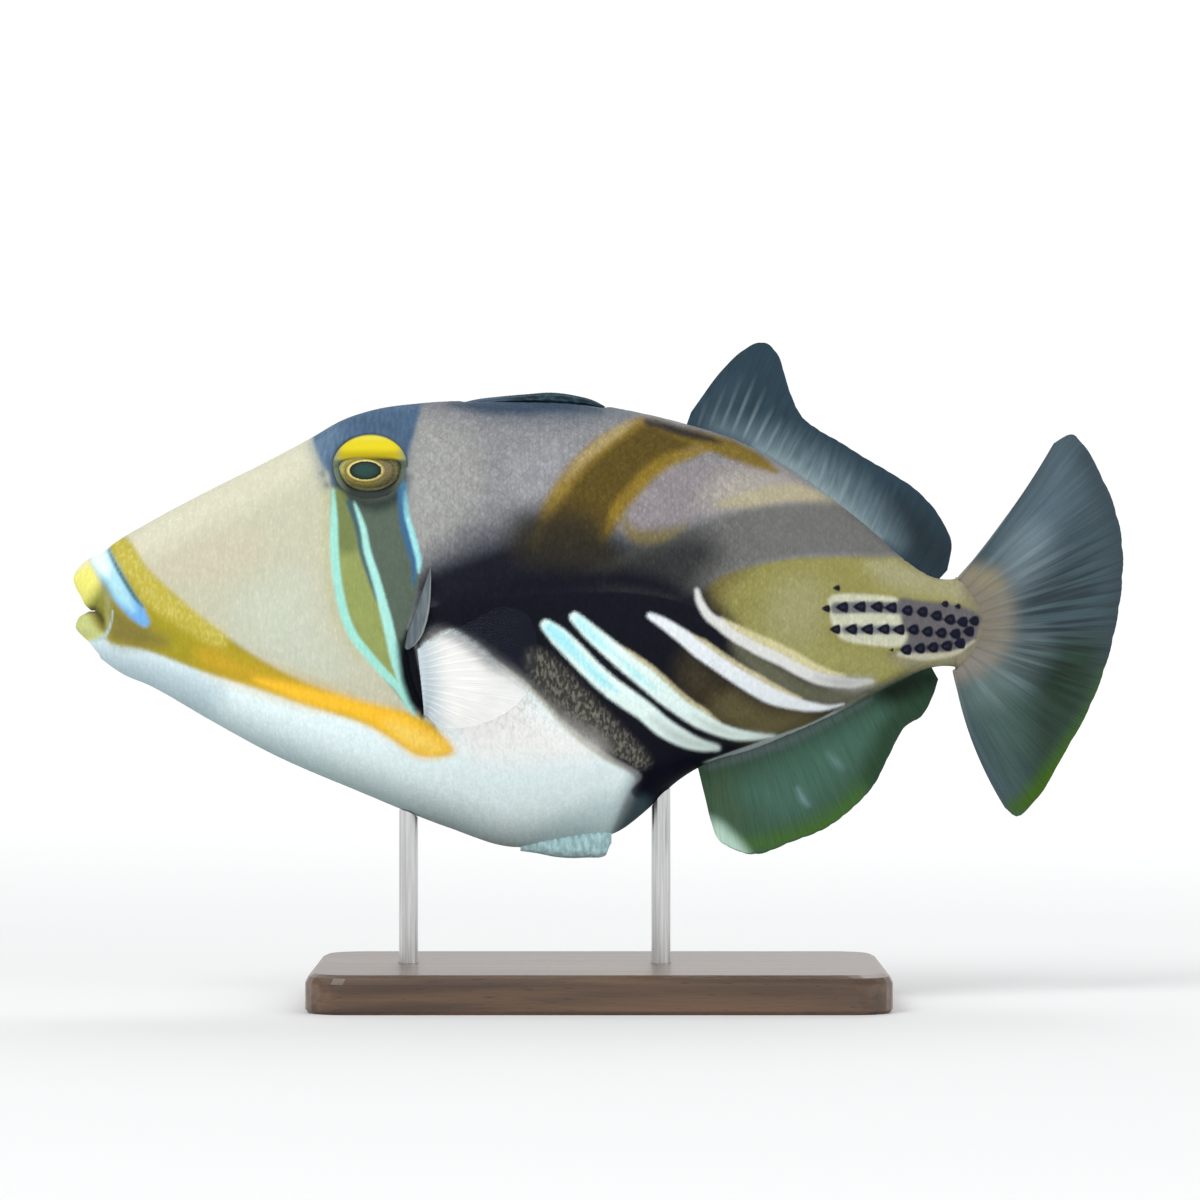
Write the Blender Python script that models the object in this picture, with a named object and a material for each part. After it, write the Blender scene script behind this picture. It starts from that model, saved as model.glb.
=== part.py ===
"""A picasso triggerfish at life size, swimming level above a plain display stand.

The fish faces -X with its left side towards -Y, and +Z is up. The origin is at the middle of the
underside of the stand. Every size and place below is in millimetres: MM turns them into metres.
"""
import math

import bmesh
import bpy
import numpy as np

MM = 0.001
GAP = 0.3                  # what touching pieces keep between their faces

# Outlines of the body without its fins, as (x, z) along the back and along the belly
BACK = [(-104.5, 93.9), (-102.3, 95.7), (-94.3, 100.6), (-81.7, 107.3), (-69.1, 113.6),
        (-60.5, 118.2), (-54.0, 121.9), (-47.0, 124.2), (-37.6, 125.5), (-20.8, 126.1),
        (-4.0, 125.6), (8.6, 123.5), (19.1, 120.9), (29.2, 117.6), (41.0, 110.9),
        (55.4, 100.4), (65.7, 91.6), (70.5, 88.9), (74.5, 88.6), (79.0, 90.0)]
BELLY = [(-104.5, 71.8), (-100.6, 69.0), (-94.3, 66.2), (-81.7, 59.0), (-69.1, 52.1),
         (-50.2, 43.9), (-31.3, 36.3), (-18.7, 32.4), (-11.0, 32.6), (-2.0, 34.0),
         (4.0, 35.6), (10.0, 40.1), (16.0, 45.8), (22.0, 49.6), (31.7, 52.6),
         (42.2, 56.9), (52.7, 61.7), (63.2, 67.2), (70.0, 70.0), (74.5, 70.2), (79.0, 68.5)]
HALF_WIDTH = [(-104.5, 5.6), (-95.0, 7.4), (-80.0, 9.8), (-65.0, 12.6), (-50.0, 15.6),
              (-35.0, 18.0), (-20.0, 18.8), (-5.0, 18.4), (10.0, 16.8), (25.0, 14.0),
              (40.0, 10.6), (55.0, 7.2), (65.0, 5.2), (74.5, 4.0)]
WIDEST_LEVEL = [(-104.5, 82.5), (-80.0, 80.5), (-50.0, 78.0), (-20.0, 79.5), (20.0, 84.0),
                (50.0, 81.5), (74.5, 79.3)]
# How lens-like the section is: 1 is an ellipse, and more draws the back or the belly to a ridge
BACK_RIDGE = [(-104.5, 0.9), (-70.0, 0.85), (-45.0, 0.85), (-15.0, 1.05), (30.0, 1.1), (74.5, 1.0)]
BELLY_RIDGE = [(-104.5, 0.9), (-80.0, 1.0), (-45.0, 1.15), (-10.0, 1.35), (20.0, 1.2), (74.5, 1.0)]

# The tail swings away to the fish's right
BEND_START, BEND = 25.0, 0.0012
FLICK_START, FLICK = 78.0, 0.006

LIP_BACK = -104.35         # where both lips meet the snout
SNOUT_FRONT = LIP_BACK + GAP
HEAD_END = -31.5           # the head parts from the trunk behind the gill opening
TRUNK_END = 44.0           # the trunk parts from the tail stalk
STALK_END = 75.0
RING_POINTS = 32
STATION_STEP = 3.6

UPPER_LIP_LEVEL, UPPER_LIP_HEIGHT, UPPER_LIP_REACH, UPPER_LIP_HALF_WIDTH = 88.3, 5.9, 6.3, 5.9
UPPER_LIP_DROP, UPPER_LIP_SWEEP, LOWER_LIP_SWEEP = 1.0, math.radians(86), math.radians(84)
LIP_ROUNDING, LIP_EDGE_HALF = 0.75, 0.12
LOWER_LIP_TOP = [(-109.9, 78.9), (-109.3, 80.2), (-107.3, 81.3), (-104.35, 81.9)]
LOWER_LIP_BOTTOM = [(-109.9, 78.9), (-109.3, 77.6), (-107.8, 76.3), (-106.2, 74.6), (-104.35, 71.9)]
LOWER_LIP_HALF_WIDTH, LOWER_LIP_REACH = 5.6, 5.5

EYE_X, EYE_LEVEL, EYE_SIZE, EYE_OUT = -48.0, 111.9, (7.2, 4.2, 5.4), 1.6
ORBIT_LEVEL, ORBIT_LENGTH, ORBIT_HEIGHT = 112.4, 6.9, 5.8
ORBIT_THIN, ORBIT_BROW = 0.9, 1.7
NOSTRILS, NOSTRIL_SIZE = [(-57.6, 110.4), (-56.6, 108.0)], (0.7, 0.9, 0.6)
MOUTH_CUT, MOUTH_CUT_HALF = [(-105.35, 83.1), (-101.0, 81.6), (-105.35, 81.0)], 12.0
# The slit below the gill flap as x, z and radius, and how far its middle lies under the skin
GILL_SLIT = [(-40.9, 74.6, 0.5), (-40.5, 72.0, 1.2), (-40.1, 69.1, 1.5), (-38.9, 64.9, 1.2),
             (-37.2, 61.4, 0.5)]
SLIT_DEPTH = 0.8
# The flap: its ends, half widths and slant, its faces above the skin and the outer one's arch
FLAP_TOP, FLAP_END, FLAP_EDGE_HALF, FLAP_HALF = (-35.8, 90.6), (-40.6, 74.2), 0.3, 1.15
FLAP_SLANT, FLAP_FLOOR, FLAP_COVER, FLAP_CROWN = 0.2, 0.35, 0.9, 0.5

# The folded spiny fin: x, rise of its middle above the back, half width and half height
FOLDED_FIN = [(-28.4, 0.1, 0.5, 0.4), (-26.0, 0.1, 1.3, 0.7), (-21.0, 0.2, 1.7, 0.8),
              (-15.0, 0.35, 1.8, 1.0), (-10.0, 0.5, 1.6, 1.25), (-5.0, 0.4, 1.3, 1.05),
              (-1.0, 0.15, 0.9, 0.7), (1.2, 0.0, 0.4, 0.4)]

# The tip of the pelvis: x, half width and lowest level
PELVIC_TIP = [(-16.5, 0.8, 31.5), (-13.0, 2.0, 31.0), (-9.5, 2.6, 30.3), (-6.0, 2.8, 30.0),
              (-2.5, 2.6, 30.1), (0.8, 2.1, 30.3), (2.6, 1.2, 31.2)]

# Dark forward spines in rows along the tail stalk, as x and z
STALK_SPINES = [(47.9, 82.4), (50.9, 82.7), (54.6, 82.8), (58.2, 82.8), (61.2, 82.6), (64.6, 82.0),
                (67.8, 81.7), (70.8, 80.9), (73.6, 80.1), (49.4, 78.1), (52.8, 78.1), (56.2, 78.1),
                (59.7, 78.1), (62.9, 78.0), (65.9, 78.0), (68.9, 77.6), (71.8, 77.3), (64.4, 73.8),
                (67.3, 74.1), (70.1, 74.3), (73.0, 74.6)]
SPINE_RADIUS, SPINE_TIP_RADIUS, SPINE_HEIGHT, SPINE_SINK, SPINE_LEAN = 0.75, 0.12, 1.1, 0.5, 0.7

# Rays of each fin that were measured: place of the root, tip x and z, and how far the ray bows
SOFT_DORSAL = [(18.0, 19.3, 123.6, 0), (20.6, 25.0, 131.5, 0), (23.4, 30.2, 136.7, 0),
               (26.2, 34.5, 138.5, 0), (29.0, 37.6, 136.0, 0), (32.4, 39.9, 128.8, 0),
               (36.8, 42.4, 123.2, 0), (41.6, 46.2, 120.0, 0), (46.6, 50.6, 117.5, 0),
               (51.6, 56.0, 114.1, 0), (56.4, 61.7, 110.8, 0), (61.2, 67.4, 106.9, 0),
               (65.6, 72.2, 101.1, 0), (68.8, 74.3, 95.2, 0), (70.6, 73.3, 90.4, 0)]
ANAL = [(20.5, 23.1, 39.6, 0), (22.9, 24.8, 34.4, 0), (25.4, 28.6, 32.1, 0), (29.2, 33.2, 31.4, 0),
        (33.8, 39.9, 33.8, 0), (39.1, 47.1, 36.6, 0), (44.3, 52.7, 40.6, 0), (49.6, 57.4, 45.5, 0),
        (54.8, 60.6, 51.5, 0), (59.0, 63.9, 57.4, 0), (63.2, 67.9, 60.2, 0), (66.8, 70.3, 64.6, 0),
        (69.3, 71.3, 67.5, 0)]
CAUDAL = [(88.6, 96.2, 117.3, 0), (88.2, 99.4, 119.2, 0), (87.4, 102.6, 117.2, 0),
          (86.4, 106.0, 111.8, 0), (84.6, 109.6, 104.0, 0), (82.4, 111.4, 95.5, 0),
          (80.2, 111.2, 87.3, 0), (78.0, 109.9, 79.2, 0), (75.6, 107.4, 70.0, 0),
          (73.2, 103.2, 60.0, 0), (71.2, 97.2, 49.8, -0.3), (70.2, 92.0, 41.6, -0.6),
          (69.7, 88.2, 38.5, -0.8), (69.3, 85.6, 40.4, -0.9)]
PECTORAL_ROOT = [(-37.4, 74.1), (-35.9, 60.7)]
PECTORAL = [(0.0, -20.2, 83.1, 0), (0.12, -14.9, 81.4, 0), (0.25, -12.8, 76.8, 0),
            (0.38, -12.4, 71.6, 0), (0.5, -13.9, 66.3, 0), (0.6, -17.0, 62.5, 0),
            (0.7, -21.2, 59.8, 0), (0.8, -26.0, 58.1, 0), (0.9, -30.2, 57.7, 0), (1.0, -33.4, 58.1, 0)]
WEB_HALF, WEB_REACH, ROOT_SWELL, RAY_TAPER = 0.27, 0.985, 0.25, 0.75
RAY_HALF, TAIL_RAY_HALF = 0.55, 0.9
WEB_EDGES = (0.0, 0.22, 0.78)  # where the web starts and ends between two rays
DORSAL_ROOT_GAP, ANAL_ROOT_GAP, CAUDAL_ROOT_GAP, PECTORAL_ROOT_GAP = 0.55, 0.65, 0.4, 1.5

# How a fin leaves the middle plane: lean, ease, wave height and length, and the reach it is full at
DORSAL_SWAY, ANAL_SWAY, CAUDAL_SWAY = (0.24, 2, 0.5, 5.0, 15), (-0.5, 4, 0.6, 6.0, 15), (0, 1, 0.8, 3.0, 35)
CAUDAL_WAVE_LEVEL, PECTORAL_SPREAD, PECTORAL_EASE = 79.0, 0.45, 1.5

# Where the stalk ends: an arc with its ends at ARC_X, and the wedge that leads there
ARC_X, ARC_BULGE, ARC_LEVEL, ARC_HALF = 75.5, 5.6, 79.3, 10.2
TAIL_ROOT_LEVEL, TAIL_ROOT_HEIGHT, TAIL_ROOT_HALF = 79.2, 9.8, 1.0

# The stand's base as (inset, level), its rods, and the floor of the holes they are set in
BASE_LENGTH, BASE_WIDTH, BASE_CORNER = 120.0, 80.0, 8.0
BASE_PROFILE = [(0.6, 0.0), (0.0, 0.8), (0.0, 6.2), (0.6, 7.4), (1.8, 8.0)]
ROD_RADIUS, ROD_PLACES, HOLE_FLOOR = 2.0, [("front", -40.0), ("rear", 13.0)], 4.0

SKIN = ("skin", (0.55, 0.53, 0.42), 0.5)
FIN = ("fin", (0.10, 0.16, 0.18), 0.45)
CLEAR_FIN = ("clear_fin", (0.62, 0.63, 0.60), 0.45)
LIP = ("lip", (0.78, 0.72, 0.22), 0.45)
EYE = ("eye", (0.05, 0.08, 0.09), 0.1)
DARK = ("dark_spines", (0.05, 0.07, 0.10), 0.5)
WOOD = ("stand_wood", (0.16, 0.09, 0.05), 0.4)
STEEL = ("stand_steel", (0.62, 0.62, 0.62), 0.3)


for leftover in list(bpy.data.objects):
    bpy.data.objects.remove(leftover)


def smooth_curve(points):
    """A smooth function through the points: cubic pieces with the slope of the neighbours."""
    xs, ys = np.array(points, float).T
    slopes = np.gradient(ys, xs)

    def value(x):
        x = np.clip(x, xs[0], xs[-1])
        i = np.clip(np.searchsorted(xs, x, side="right") - 1, 0, len(xs) - 2)
        step = xs[i + 1] - xs[i]
        t = (x - xs[i]) / step
        rise = ys[i + 1] - ys[i]
        first, last = slopes[i] * step - rise, rise - slopes[i + 1] * step
        return ys[i] + t * rise + t * (1 - t) * ((1 - t) * first + t * last)

    return value


back, belly = smooth_curve(BACK), smooth_curve(BELLY)
half_width, widest_level = smooth_curve(HALF_WIDTH), smooth_curve(WIDEST_LEVEL)
back_ridge, belly_ridge = smooth_curve(BACK_RIDGE), smooth_curve(BELLY_RIDGE)


def bend(x):
    """How far the body's middle plane has swung to +Y at x."""
    return BEND * np.maximum(x - BEND_START, 0) ** 2 + FLICK * np.maximum(x - FLICK_START, 0) ** 2


def tail_arc(z):
    """Where the stalk ends at the level z."""
    return ARC_X + ARC_BULGE * (1 - ((z - ARC_LEVEL) / ARC_HALF) ** 2)


def section_point(x, angle):
    """The skin's point at x and at an angle round the body: 0 is the right side, 90 degrees the back."""
    side, rise = np.cos(angle), np.sin(angle)
    upper = rise >= 0
    power = np.where(upper, back_ridge(x), belly_ridge(x))
    height = np.where(upper, back(x) - widest_level(x), widest_level(x) - belly(x))
    y = half_width(x) * np.sign(side) * np.abs(side) ** power
    return np.array([x, bend(x) + y, widest_level(x) + height * rise])


def side_at(x, z):
    """The skin's half width at x and at the level z."""
    upper = z >= widest_level(x)
    height = np.where(upper, back(x) - widest_level(x), widest_level(x) - belly(x))
    power = np.where(upper, back_ridge(x), belly_ridge(x))
    share = np.clip(np.abs(z - widest_level(x)) / height, 0, 1)
    return half_width(x) * (1 - share ** 2) ** (power / 2)


def level_at(x, offset, upper):
    """The level of the skin above or below, at an offset from the middle plane."""
    edge, power = (back(x), back_ridge(x)) if upper else (belly(x), belly_ridge(x))
    share = np.clip(np.abs(offset) / half_width(x), 0, 1) ** (1 / power)
    return widest_level(x) + (edge - widest_level(x)) * np.sqrt(1 - share ** 2)


def on_skin(x, z, side, lift=0.0):
    """A point on the skin at x and z, on the side -1 (left) or 1 (right), lifted along its normal."""
    reach = 0.5
    point = np.array([x, bend(x) + side * side_at(x, z), z])
    along = np.array([2 * reach, side * (side_at(x + reach, z) - side_at(x - reach, z)), 0])
    up = np.array([0, side * (side_at(x, z + reach) - side_at(x, z - reach)), 2 * reach])
    normal = np.cross(up, along) * side
    return point + lift * normal / np.linalg.norm(normal)


def material(kind):
    name, colour, roughness = kind
    made = bpy.data.materials.get(name)
    if made is None:
        made = bpy.data.materials.new(name)
        made.use_nodes = True
        shader = made.node_tree.nodes["Principled BSDF"]
        shader.inputs["Base Color"].default_value = (*colour, 1)
        shader.inputs["Roughness"].default_value = roughness
        shader.inputs["Metallic"].default_value = 1.0 if kind is STEEL else 0.0
    return made


def solid(name, points, faces, kind):
    """An object from points in millimetres and faces, with its faces turned outwards."""
    mesh = bpy.data.meshes.new(name)
    mesh.from_pydata((np.array(points, float) * MM).tolist(), [], faces)
    shape = bmesh.new()
    shape.from_mesh(mesh)
    bmesh.ops.recalc_face_normals(shape, faces=shape.faces)
    if shape.calc_volume(signed=True) < 0:
        bmesh.ops.reverse_faces(shape, faces=shape.faces)
    shape.to_mesh(mesh)
    shape.free()
    mesh.shade_smooth()
    mesh.set_sharp_from_angle(angle=math.radians(40))
    mesh.materials.append(material(kind))
    made = bpy.data.objects.new(name, mesh)
    bpy.context.scene.collection.objects.link(made)
    return made


def loft(name, rings, kind):
    """A closed solid through rings of points, each end closed with strips from side to side."""
    count = len(rings[0])
    points = [p for ring in rings for p in ring]
    faces = []
    for i in range(len(rings) - 1):
        for j in range(count):
            k = (j + 1) % count
            a, b = i * count, (i + 1) * count
            faces.append((a + j, a + k, b + k, b + j))
    top = count // 4
    for start in (0, (len(rings) - 1) * count):
        for k in range(count // 2):
            corners = [(top + c) % count for c in (k, k + 1, -k - 1, -k)]
            faces.append([start + c for c in dict.fromkeys(corners)])
    return solid(name, points, faces, kind)


def tube(name, path, radii, kind, sides=8, closed=False):
    """A round tube along a path, with a radius for each of its points."""
    path = np.array(path, float)
    if closed:
        ahead = np.roll(path, -1, axis=0) - np.roll(path, 1, axis=0)
    else:
        ahead = np.gradient(path, axis=0)
    rings = []
    for point, direction, radius in zip(path, ahead, radii):
        direction = direction / np.linalg.norm(direction)
        across = np.cross(direction, (0.0, 1.0, 0.0))
        across /= np.linalg.norm(across)
        over = np.cross(direction, across)
        rings.append([point + radius * (math.cos(a) * across + math.sin(a) * over)
                      for a in 2 * math.pi * np.arange(sides) / sides])
    if not closed:
        return loft(name, rings, kind)
    count, points, faces = len(rings), [p for ring in rings for p in ring], []
    for i in range(count):
        for j in range(sides):
            k, n = (j + 1) % sides, (i + 1) % count
            faces.append((i * sides + j, i * sides + k, n * sides + k, n * sides + j))
    return solid(name, points, faces, kind)


def combine(target, others, operation):
    """Joins the others to the target, or cuts them from it, and keeps the largest closed surface."""
    group = bpy.data.collections.new("pieces")
    bpy.context.scene.collection.children.link(group)
    for other in others:
        bpy.context.scene.collection.objects.unlink(other)
        group.objects.link(other)
    step = target.modifiers.new("pieces", "BOOLEAN")
    step.operation, step.solver = operation, "MANIFOLD"
    step.operand_type, step.collection = "COLLECTION", group
    graph = bpy.context.evaluated_depsgraph_get()
    mesh = bpy.data.meshes.new_from_object(target.evaluated_get(graph))
    target.modifiers.clear()
    target.data = mesh
    for other in list(group.objects):
        bpy.data.objects.remove(other)
    bpy.data.collections.remove(group)
    keep_largest(target)


def keep_largest(target):
    shape = bmesh.new()
    shape.from_mesh(target.data)
    left, groups = set(shape.verts), []
    while left:
        front, found = [left.pop()], set()
        while front:
            vert = front.pop()
            found.add(vert)
            near = {edge.other_vert(vert) for edge in vert.link_edges} & left
            left -= near
            front += near
        groups.append(found)
    groups.sort(key=len)
    bmesh.ops.delete(shape, geom=[v for group in groups[:-1] for v in group], context="VERTS")
    shape.to_mesh(target.data)
    shape.free()
    target.data.set_sharp_from_angle(angle=math.radians(40))


def body_length(name, start, end, kind):
    """A length of the body from x = start to x = end, as one lofted solid."""
    count = max(2, round((end - start) / STATION_STEP))
    angles = 2 * math.pi * np.arange(RING_POINTS) / RING_POINTS
    rings = [[section_point(x, a) for a in angles] for x in np.linspace(start, end, count + 1)]
    return loft(name, rings, kind)


def sheet(name, near, far, kind):
    """A thin solid between two grids of points. Both of its faces are split into triangles alike."""
    rows, columns = near.shape[:2]
    points = [*near.reshape(-1, 3), *far.reshape(-1, 3)]
    other, faces = rows * columns, []
    for i in range(rows - 1):
        for j in range(columns - 1):
            a, b = i * columns + j, i * columns + j + 1
            c, d = a + columns, b + columns
            for triangle in ((a, b, d), (a, d, c)):
                faces.append(triangle)
                faces.append(tuple(other + corner for corner in reversed(triangle)))
    rim = [i * columns for i in range(rows)]
    rim += [(rows - 1) * columns + j for j in range(1, columns)]
    rim += [i * columns + columns - 1 for i in range(rows - 2, -1, -1)]
    rim += list(range(columns - 2, 0, -1))
    for a, b in zip(rim, rim[1:] + rim[:1]):
        faces += [(a, b, other + b), (a, other + b, other + a)]
    return solid(name, points, faces, kind)


def grid_normals(centre):
    """The unit normal of a grid of points at each of them."""
    down, along = np.gradient(centre, axis=0), np.gradient(centre, axis=1)
    normal = np.cross(along, down)
    return normal / np.linalg.norm(normal, axis=-1, keepdims=True)


# Body: head, trunk and tail stalk, parted by thin cuts

def ellipsoid(name, centre, size, kind, rings=10, sides=18):
    """A closed ellipsoid with its poles on the Y axis."""
    turns = 2 * math.pi * np.arange(sides) / sides
    made = []
    for tilt in np.linspace(0.06, math.pi - 0.06, rings):
        made.append([(centre[0] + size[0] * math.sin(tilt) * math.cos(a),
                      centre[1] + size[1] * math.cos(tilt),
                      centre[2] + size[2] * math.sin(tilt) * math.sin(a)) for a in turns])
    return loft(name, made, kind)


def eye_centre(side):
    reach = float(side_at(EYE_X, EYE_LEVEL)) + EYE_OUT - EYE_SIZE[1]
    return EYE_X, side * reach, EYE_LEVEL


head = body_length("head", SNOUT_FRONT, HEAD_END, SKIN)
rims = []
for side in (-1, 1):
    turns = 2 * math.pi * np.arange(24) / 24
    path = [on_skin(EYE_X + ORBIT_LENGTH * math.cos(a), ORBIT_LEVEL + ORBIT_HEIGHT * math.sin(a), side)
            for a in turns]
    brow = np.clip(np.sin(turns), 0, 1)
    rims.append(tube("rim", path, ORBIT_THIN + (ORBIT_BROW - ORBIT_THIN) * brow, SKIN, 7, True))
combine(head, rims, "UNION")

cutters = []
for side in (-1, 1):
    socket = tuple(size + GAP for size in EYE_SIZE)
    cutters.append(ellipsoid("socket", eye_centre(side), socket, SKIN))
    slit = [on_skin(x, z, side, -SLIT_DEPTH) for x, z, _ in GILL_SLIT]
    cutters.append(tube("slit", slit, [radius for _, _, radius in GILL_SLIT], SKIN))
    for x, z in NOSTRILS:
        cutters.append(ellipsoid("nostril", on_skin(x, z, side), NOSTRIL_SIZE, SKIN, 5, 8))
mouth_sides = [[(x, y, z) for x, z in MOUTH_CUT] for y in (-MOUTH_CUT_HALF, MOUTH_CUT_HALF)]
cutters.append(loft("mouth", mouth_sides, SKIN))
combine(head, cutters, "DIFFERENCE")

trunk = body_length("trunk", HEAD_END + GAP, TRUNK_END, SKIN)


def folded_fin_rings(grow):
    """Rings of the spiny fin as it lies folded in its groove, or of the groove with grow above 0."""
    rings = []
    for x, rise, half, height in FOLDED_FIN:
        middle = float(back(x)) + rise
        longer = {FOLDED_FIN[0][0]: -grow, FOLDED_FIN[-1][0]: grow}.get(x, 0)
        rings.append([(x + longer, (half + grow) * math.cos(a), middle + (height + grow) * math.sin(a))
                      for a in 2 * math.pi * np.arange(12) / 12])
    return rings


combine(trunk, [loft("groove", folded_fin_rings(GAP), SKIN)], "DIFFERENCE")
loft("spiny_dorsal_fin", folded_fin_rings(0), DARK)

# The stalk ends in a wedge whose edge is an arc, where the tail fin begins
angles = 2 * math.pi * np.arange(RING_POINTS) / RING_POINTS
count = round((STALK_END - TRUNK_END) / STATION_STEP)
rings = [list(np.transpose(section_point(np.full(RING_POINTS, x), angles)))
         for x in np.linspace(TRUNK_END + GAP, STALK_END, count + 1)]
for share in (0.4, 0.75, 1.0):
    half = float(half_width(STALK_END)) * (1 - share ** 2) + TAIL_ROOT_HALF * share ** 2
    ring = []
    for a in angles:
        z = TAIL_ROOT_LEVEL + TAIL_ROOT_HEIGHT * math.sin(a)
        x = STALK_END + share * (tail_arc(z) - STALK_END)
        ring.append((x, bend(x) + half * math.cos(a), z))
    rings.append(ring)
stalk = loft("tail_stalk", rings, SKIN)
spines = []
for side in (-1, 1):
    for x, z in STALK_SPINES:
        root, tip = on_skin(x, z, side, -SPINE_SINK), on_skin(x - SPINE_LEAN, z, side, SPINE_HEIGHT)
        spines.append(tube("spine", [root, tip], [SPINE_RADIUS, SPINE_TIP_RADIUS], DARK, 6))
combine(stalk, spines, "UNION")

# Lips, eyes and gill flaps

turns = 2 * math.pi * np.arange(24) / 24
rings = []
for t in np.linspace(0, UPPER_LIP_SWEEP, 7):
    x, scale = LIP_BACK - UPPER_LIP_REACH * math.sin(t), math.cos(t) ** LIP_ROUNDING
    rings.append([(x, UPPER_LIP_HALF_WIDTH * scale * math.cos(a),
                   UPPER_LIP_LEVEL - UPPER_LIP_DROP * math.sin(t) + UPPER_LIP_HEIGHT * scale * math.sin(a))
                  for a in turns])
loft("upper_lip", rings, LIP)

top, bottom = smooth_curve(LOWER_LIP_TOP), smooth_curve(LOWER_LIP_BOTTOM)
rings = []
for t in np.linspace(0, LOWER_LIP_SWEEP, 7):
    x = LIP_BACK - LOWER_LIP_REACH * math.sin(t)
    middle, height = (top(x) + bottom(x)) / 2, max((top(x) - bottom(x)) / 2, LIP_EDGE_HALF)
    rings.append([(x, LOWER_LIP_HALF_WIDTH * math.cos(t) ** LIP_ROUNDING * math.cos(a),
                   middle + height * math.sin(a)) for a in turns])
loft("lower_lip", rings, LIP)

for side, word in ((-1, "left"), (1, "right")):
    ellipsoid("eye_" + word, eye_centre(side), EYE_SIZE, EYE)
    inner, outer = [], []
    for share in np.linspace(0, 1, 10):
        x, z = np.array(FLAP_TOP) + share * (np.array(FLAP_END) - FLAP_TOP)
        half = FLAP_EDGE_HALF + FLAP_HALF * math.sin(math.pi * share ** 0.8) ** 0.7
        across = np.linspace(-1, 1, 7)
        places = [(x + half * c, z + FLAP_SLANT * c, FLAP_COVER + FLAP_CROWN * (1 - c * c)) for c in across]
        inner.append([on_skin(px, pz, side, FLAP_FLOOR) for px, pz, _ in places])
        outer.append([on_skin(px, pz, side, height) for px, pz, height in places])
    sheet("gill_flap_" + word, np.array(outer), np.array(inner), SKIN)


# Fins: each ray is a ridge of the membrane's own surface

def fin(name, keys, rays, rows, root, sway, kind, ray_half=RAY_HALF):
    """A fin as one sheet. The keys are (place of the root, tip x, tip z, bow) from ray to ray.

    root turns a place into the root's x and z, and sway gives the y of a point from the root's
    x and z, its own x and its distance from the root.
    """
    curves = [smooth_curve(sorted((key[0], key[k]) for key in keys)) for k in (1, 2, 3)]
    first, last = keys[0][0], keys[-1][0]
    columns = [i + part for i in range(rays - 1) for part in WEB_EDGES] + [rays - 1.0]
    shares = np.linspace(0, 1, rows) ** 0.9
    centre, half = np.zeros((rows, len(columns), 3)), np.zeros((rows, len(columns)))
    for j, column in enumerate(columns):
        place = first + column / (rays - 1) * (last - first)
        tip_x, tip_z, bow = (curve(place) for curve in curves)
        start, end = np.array(root(place), float), np.array([tip_x, tip_z], float)
        crest = column == int(column)
        end = start + (end - start) * (1.0 if crest else WEB_REACH)
        along = end - start
        over = np.array([-along[1], along[0]])
        for i, share in enumerate(shares):
            x, z = start + share * along + 4 * share * (1 - share) * bow * over / np.hypot(*over)
            away = math.hypot(x - start[0], z - start[1])
            centre[i, j] = x, sway(start[0], start[1], x, away), z
            half[i, j] = WEB_HALF + ROOT_SWELL * (1 - share) ** 4
            if crest:
                half[i, j] += (ray_half - WEB_HALF) * (1 - RAY_TAPER * share)
    lift = grid_normals(centre) * half[..., None]
    return sheet(name, centre + lift, centre - lift, kind)


def eased(distance, ease):
    """A distance that starts from nothing and then grows as fast as the one given."""
    return distance ** 2 / (distance + ease)


def swayed(sway, place, x, away):
    """The y of a point of a middle fin at x, at a distance from its ray's root at the given place."""
    lean, ease, wave, length, reach = sway
    return bend(x) + lean * eased(away, ease) + wave * math.sin(place / length) * away / reach


fin("soft_dorsal_fin", SOFT_DORSAL, 24, 7, lambda x: (x, float(back(x)) + DORSAL_ROOT_GAP),
    lambda rx, rz, x, away: swayed(DORSAL_SWAY, rx, x, away), FIN)
fin("anal_fin", ANAL, 22, 7, lambda x: (x, float(belly(x)) - ANAL_ROOT_GAP),
    lambda rx, rz, x, away: swayed(ANAL_SWAY, rx, x, away), FIN)
fin("caudal_fin", CAUDAL, 12, 9, lambda z: (tail_arc(z) + CAUDAL_ROOT_GAP, z),
    lambda rx, rz, x, away: swayed(CAUDAL_SWAY, rz - CAUDAL_WAVE_LEVEL, x, away), FIN, TAIL_RAY_HALF)
for side, word in ((-1, "left"), (1, "right")):
    fin("pectoral_fin_" + word, PECTORAL, 14, 6,
        lambda share: (PECTORAL_ROOT[0][0] + share * (PECTORAL_ROOT[1][0] - PECTORAL_ROOT[0][0]),
                       PECTORAL_ROOT[0][1] + share * (PECTORAL_ROOT[1][1] - PECTORAL_ROOT[0][1])),
        lambda rx, rz, x, away, s=side: s * (float(side_at(rx, rz)) + PECTORAL_ROOT_GAP
                                             + PECTORAL_SPREAD * eased(away, PECTORAL_EASE)),
        CLEAR_FIN)

# The tip of the pelvis: a blunt scaly spine below the belly
rings = []
for x, half, low in PELVIC_TIP:
    ring = []
    for a in turns[::2]:
        y = half * math.cos(a)
        ceiling = float(level_at(x, y, False)) - GAP
        ring.append((x, y, ceiling if a < math.pi else low + (ceiling - low) * (1 + math.sin(a)) ** 0.6))
    rings.append(ring)
loft("pelvic_spine", rings, DARK)

# Stand: a rounded base and two rods that end just under the belly

def rounded_ring(length, width, radius, z):
    ring = []
    for corner, (sx, sy) in enumerate(((1, 1), (-1, 1), (-1, -1), (1, -1))):
        for step in range(6):
            a = math.pi / 2 * (corner + step / 5)
            ring.append((sx * (length / 2 - radius) + radius * math.cos(a),
                         sy * (width / 2 - radius) + radius * math.sin(a), z))
    return ring


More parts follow.
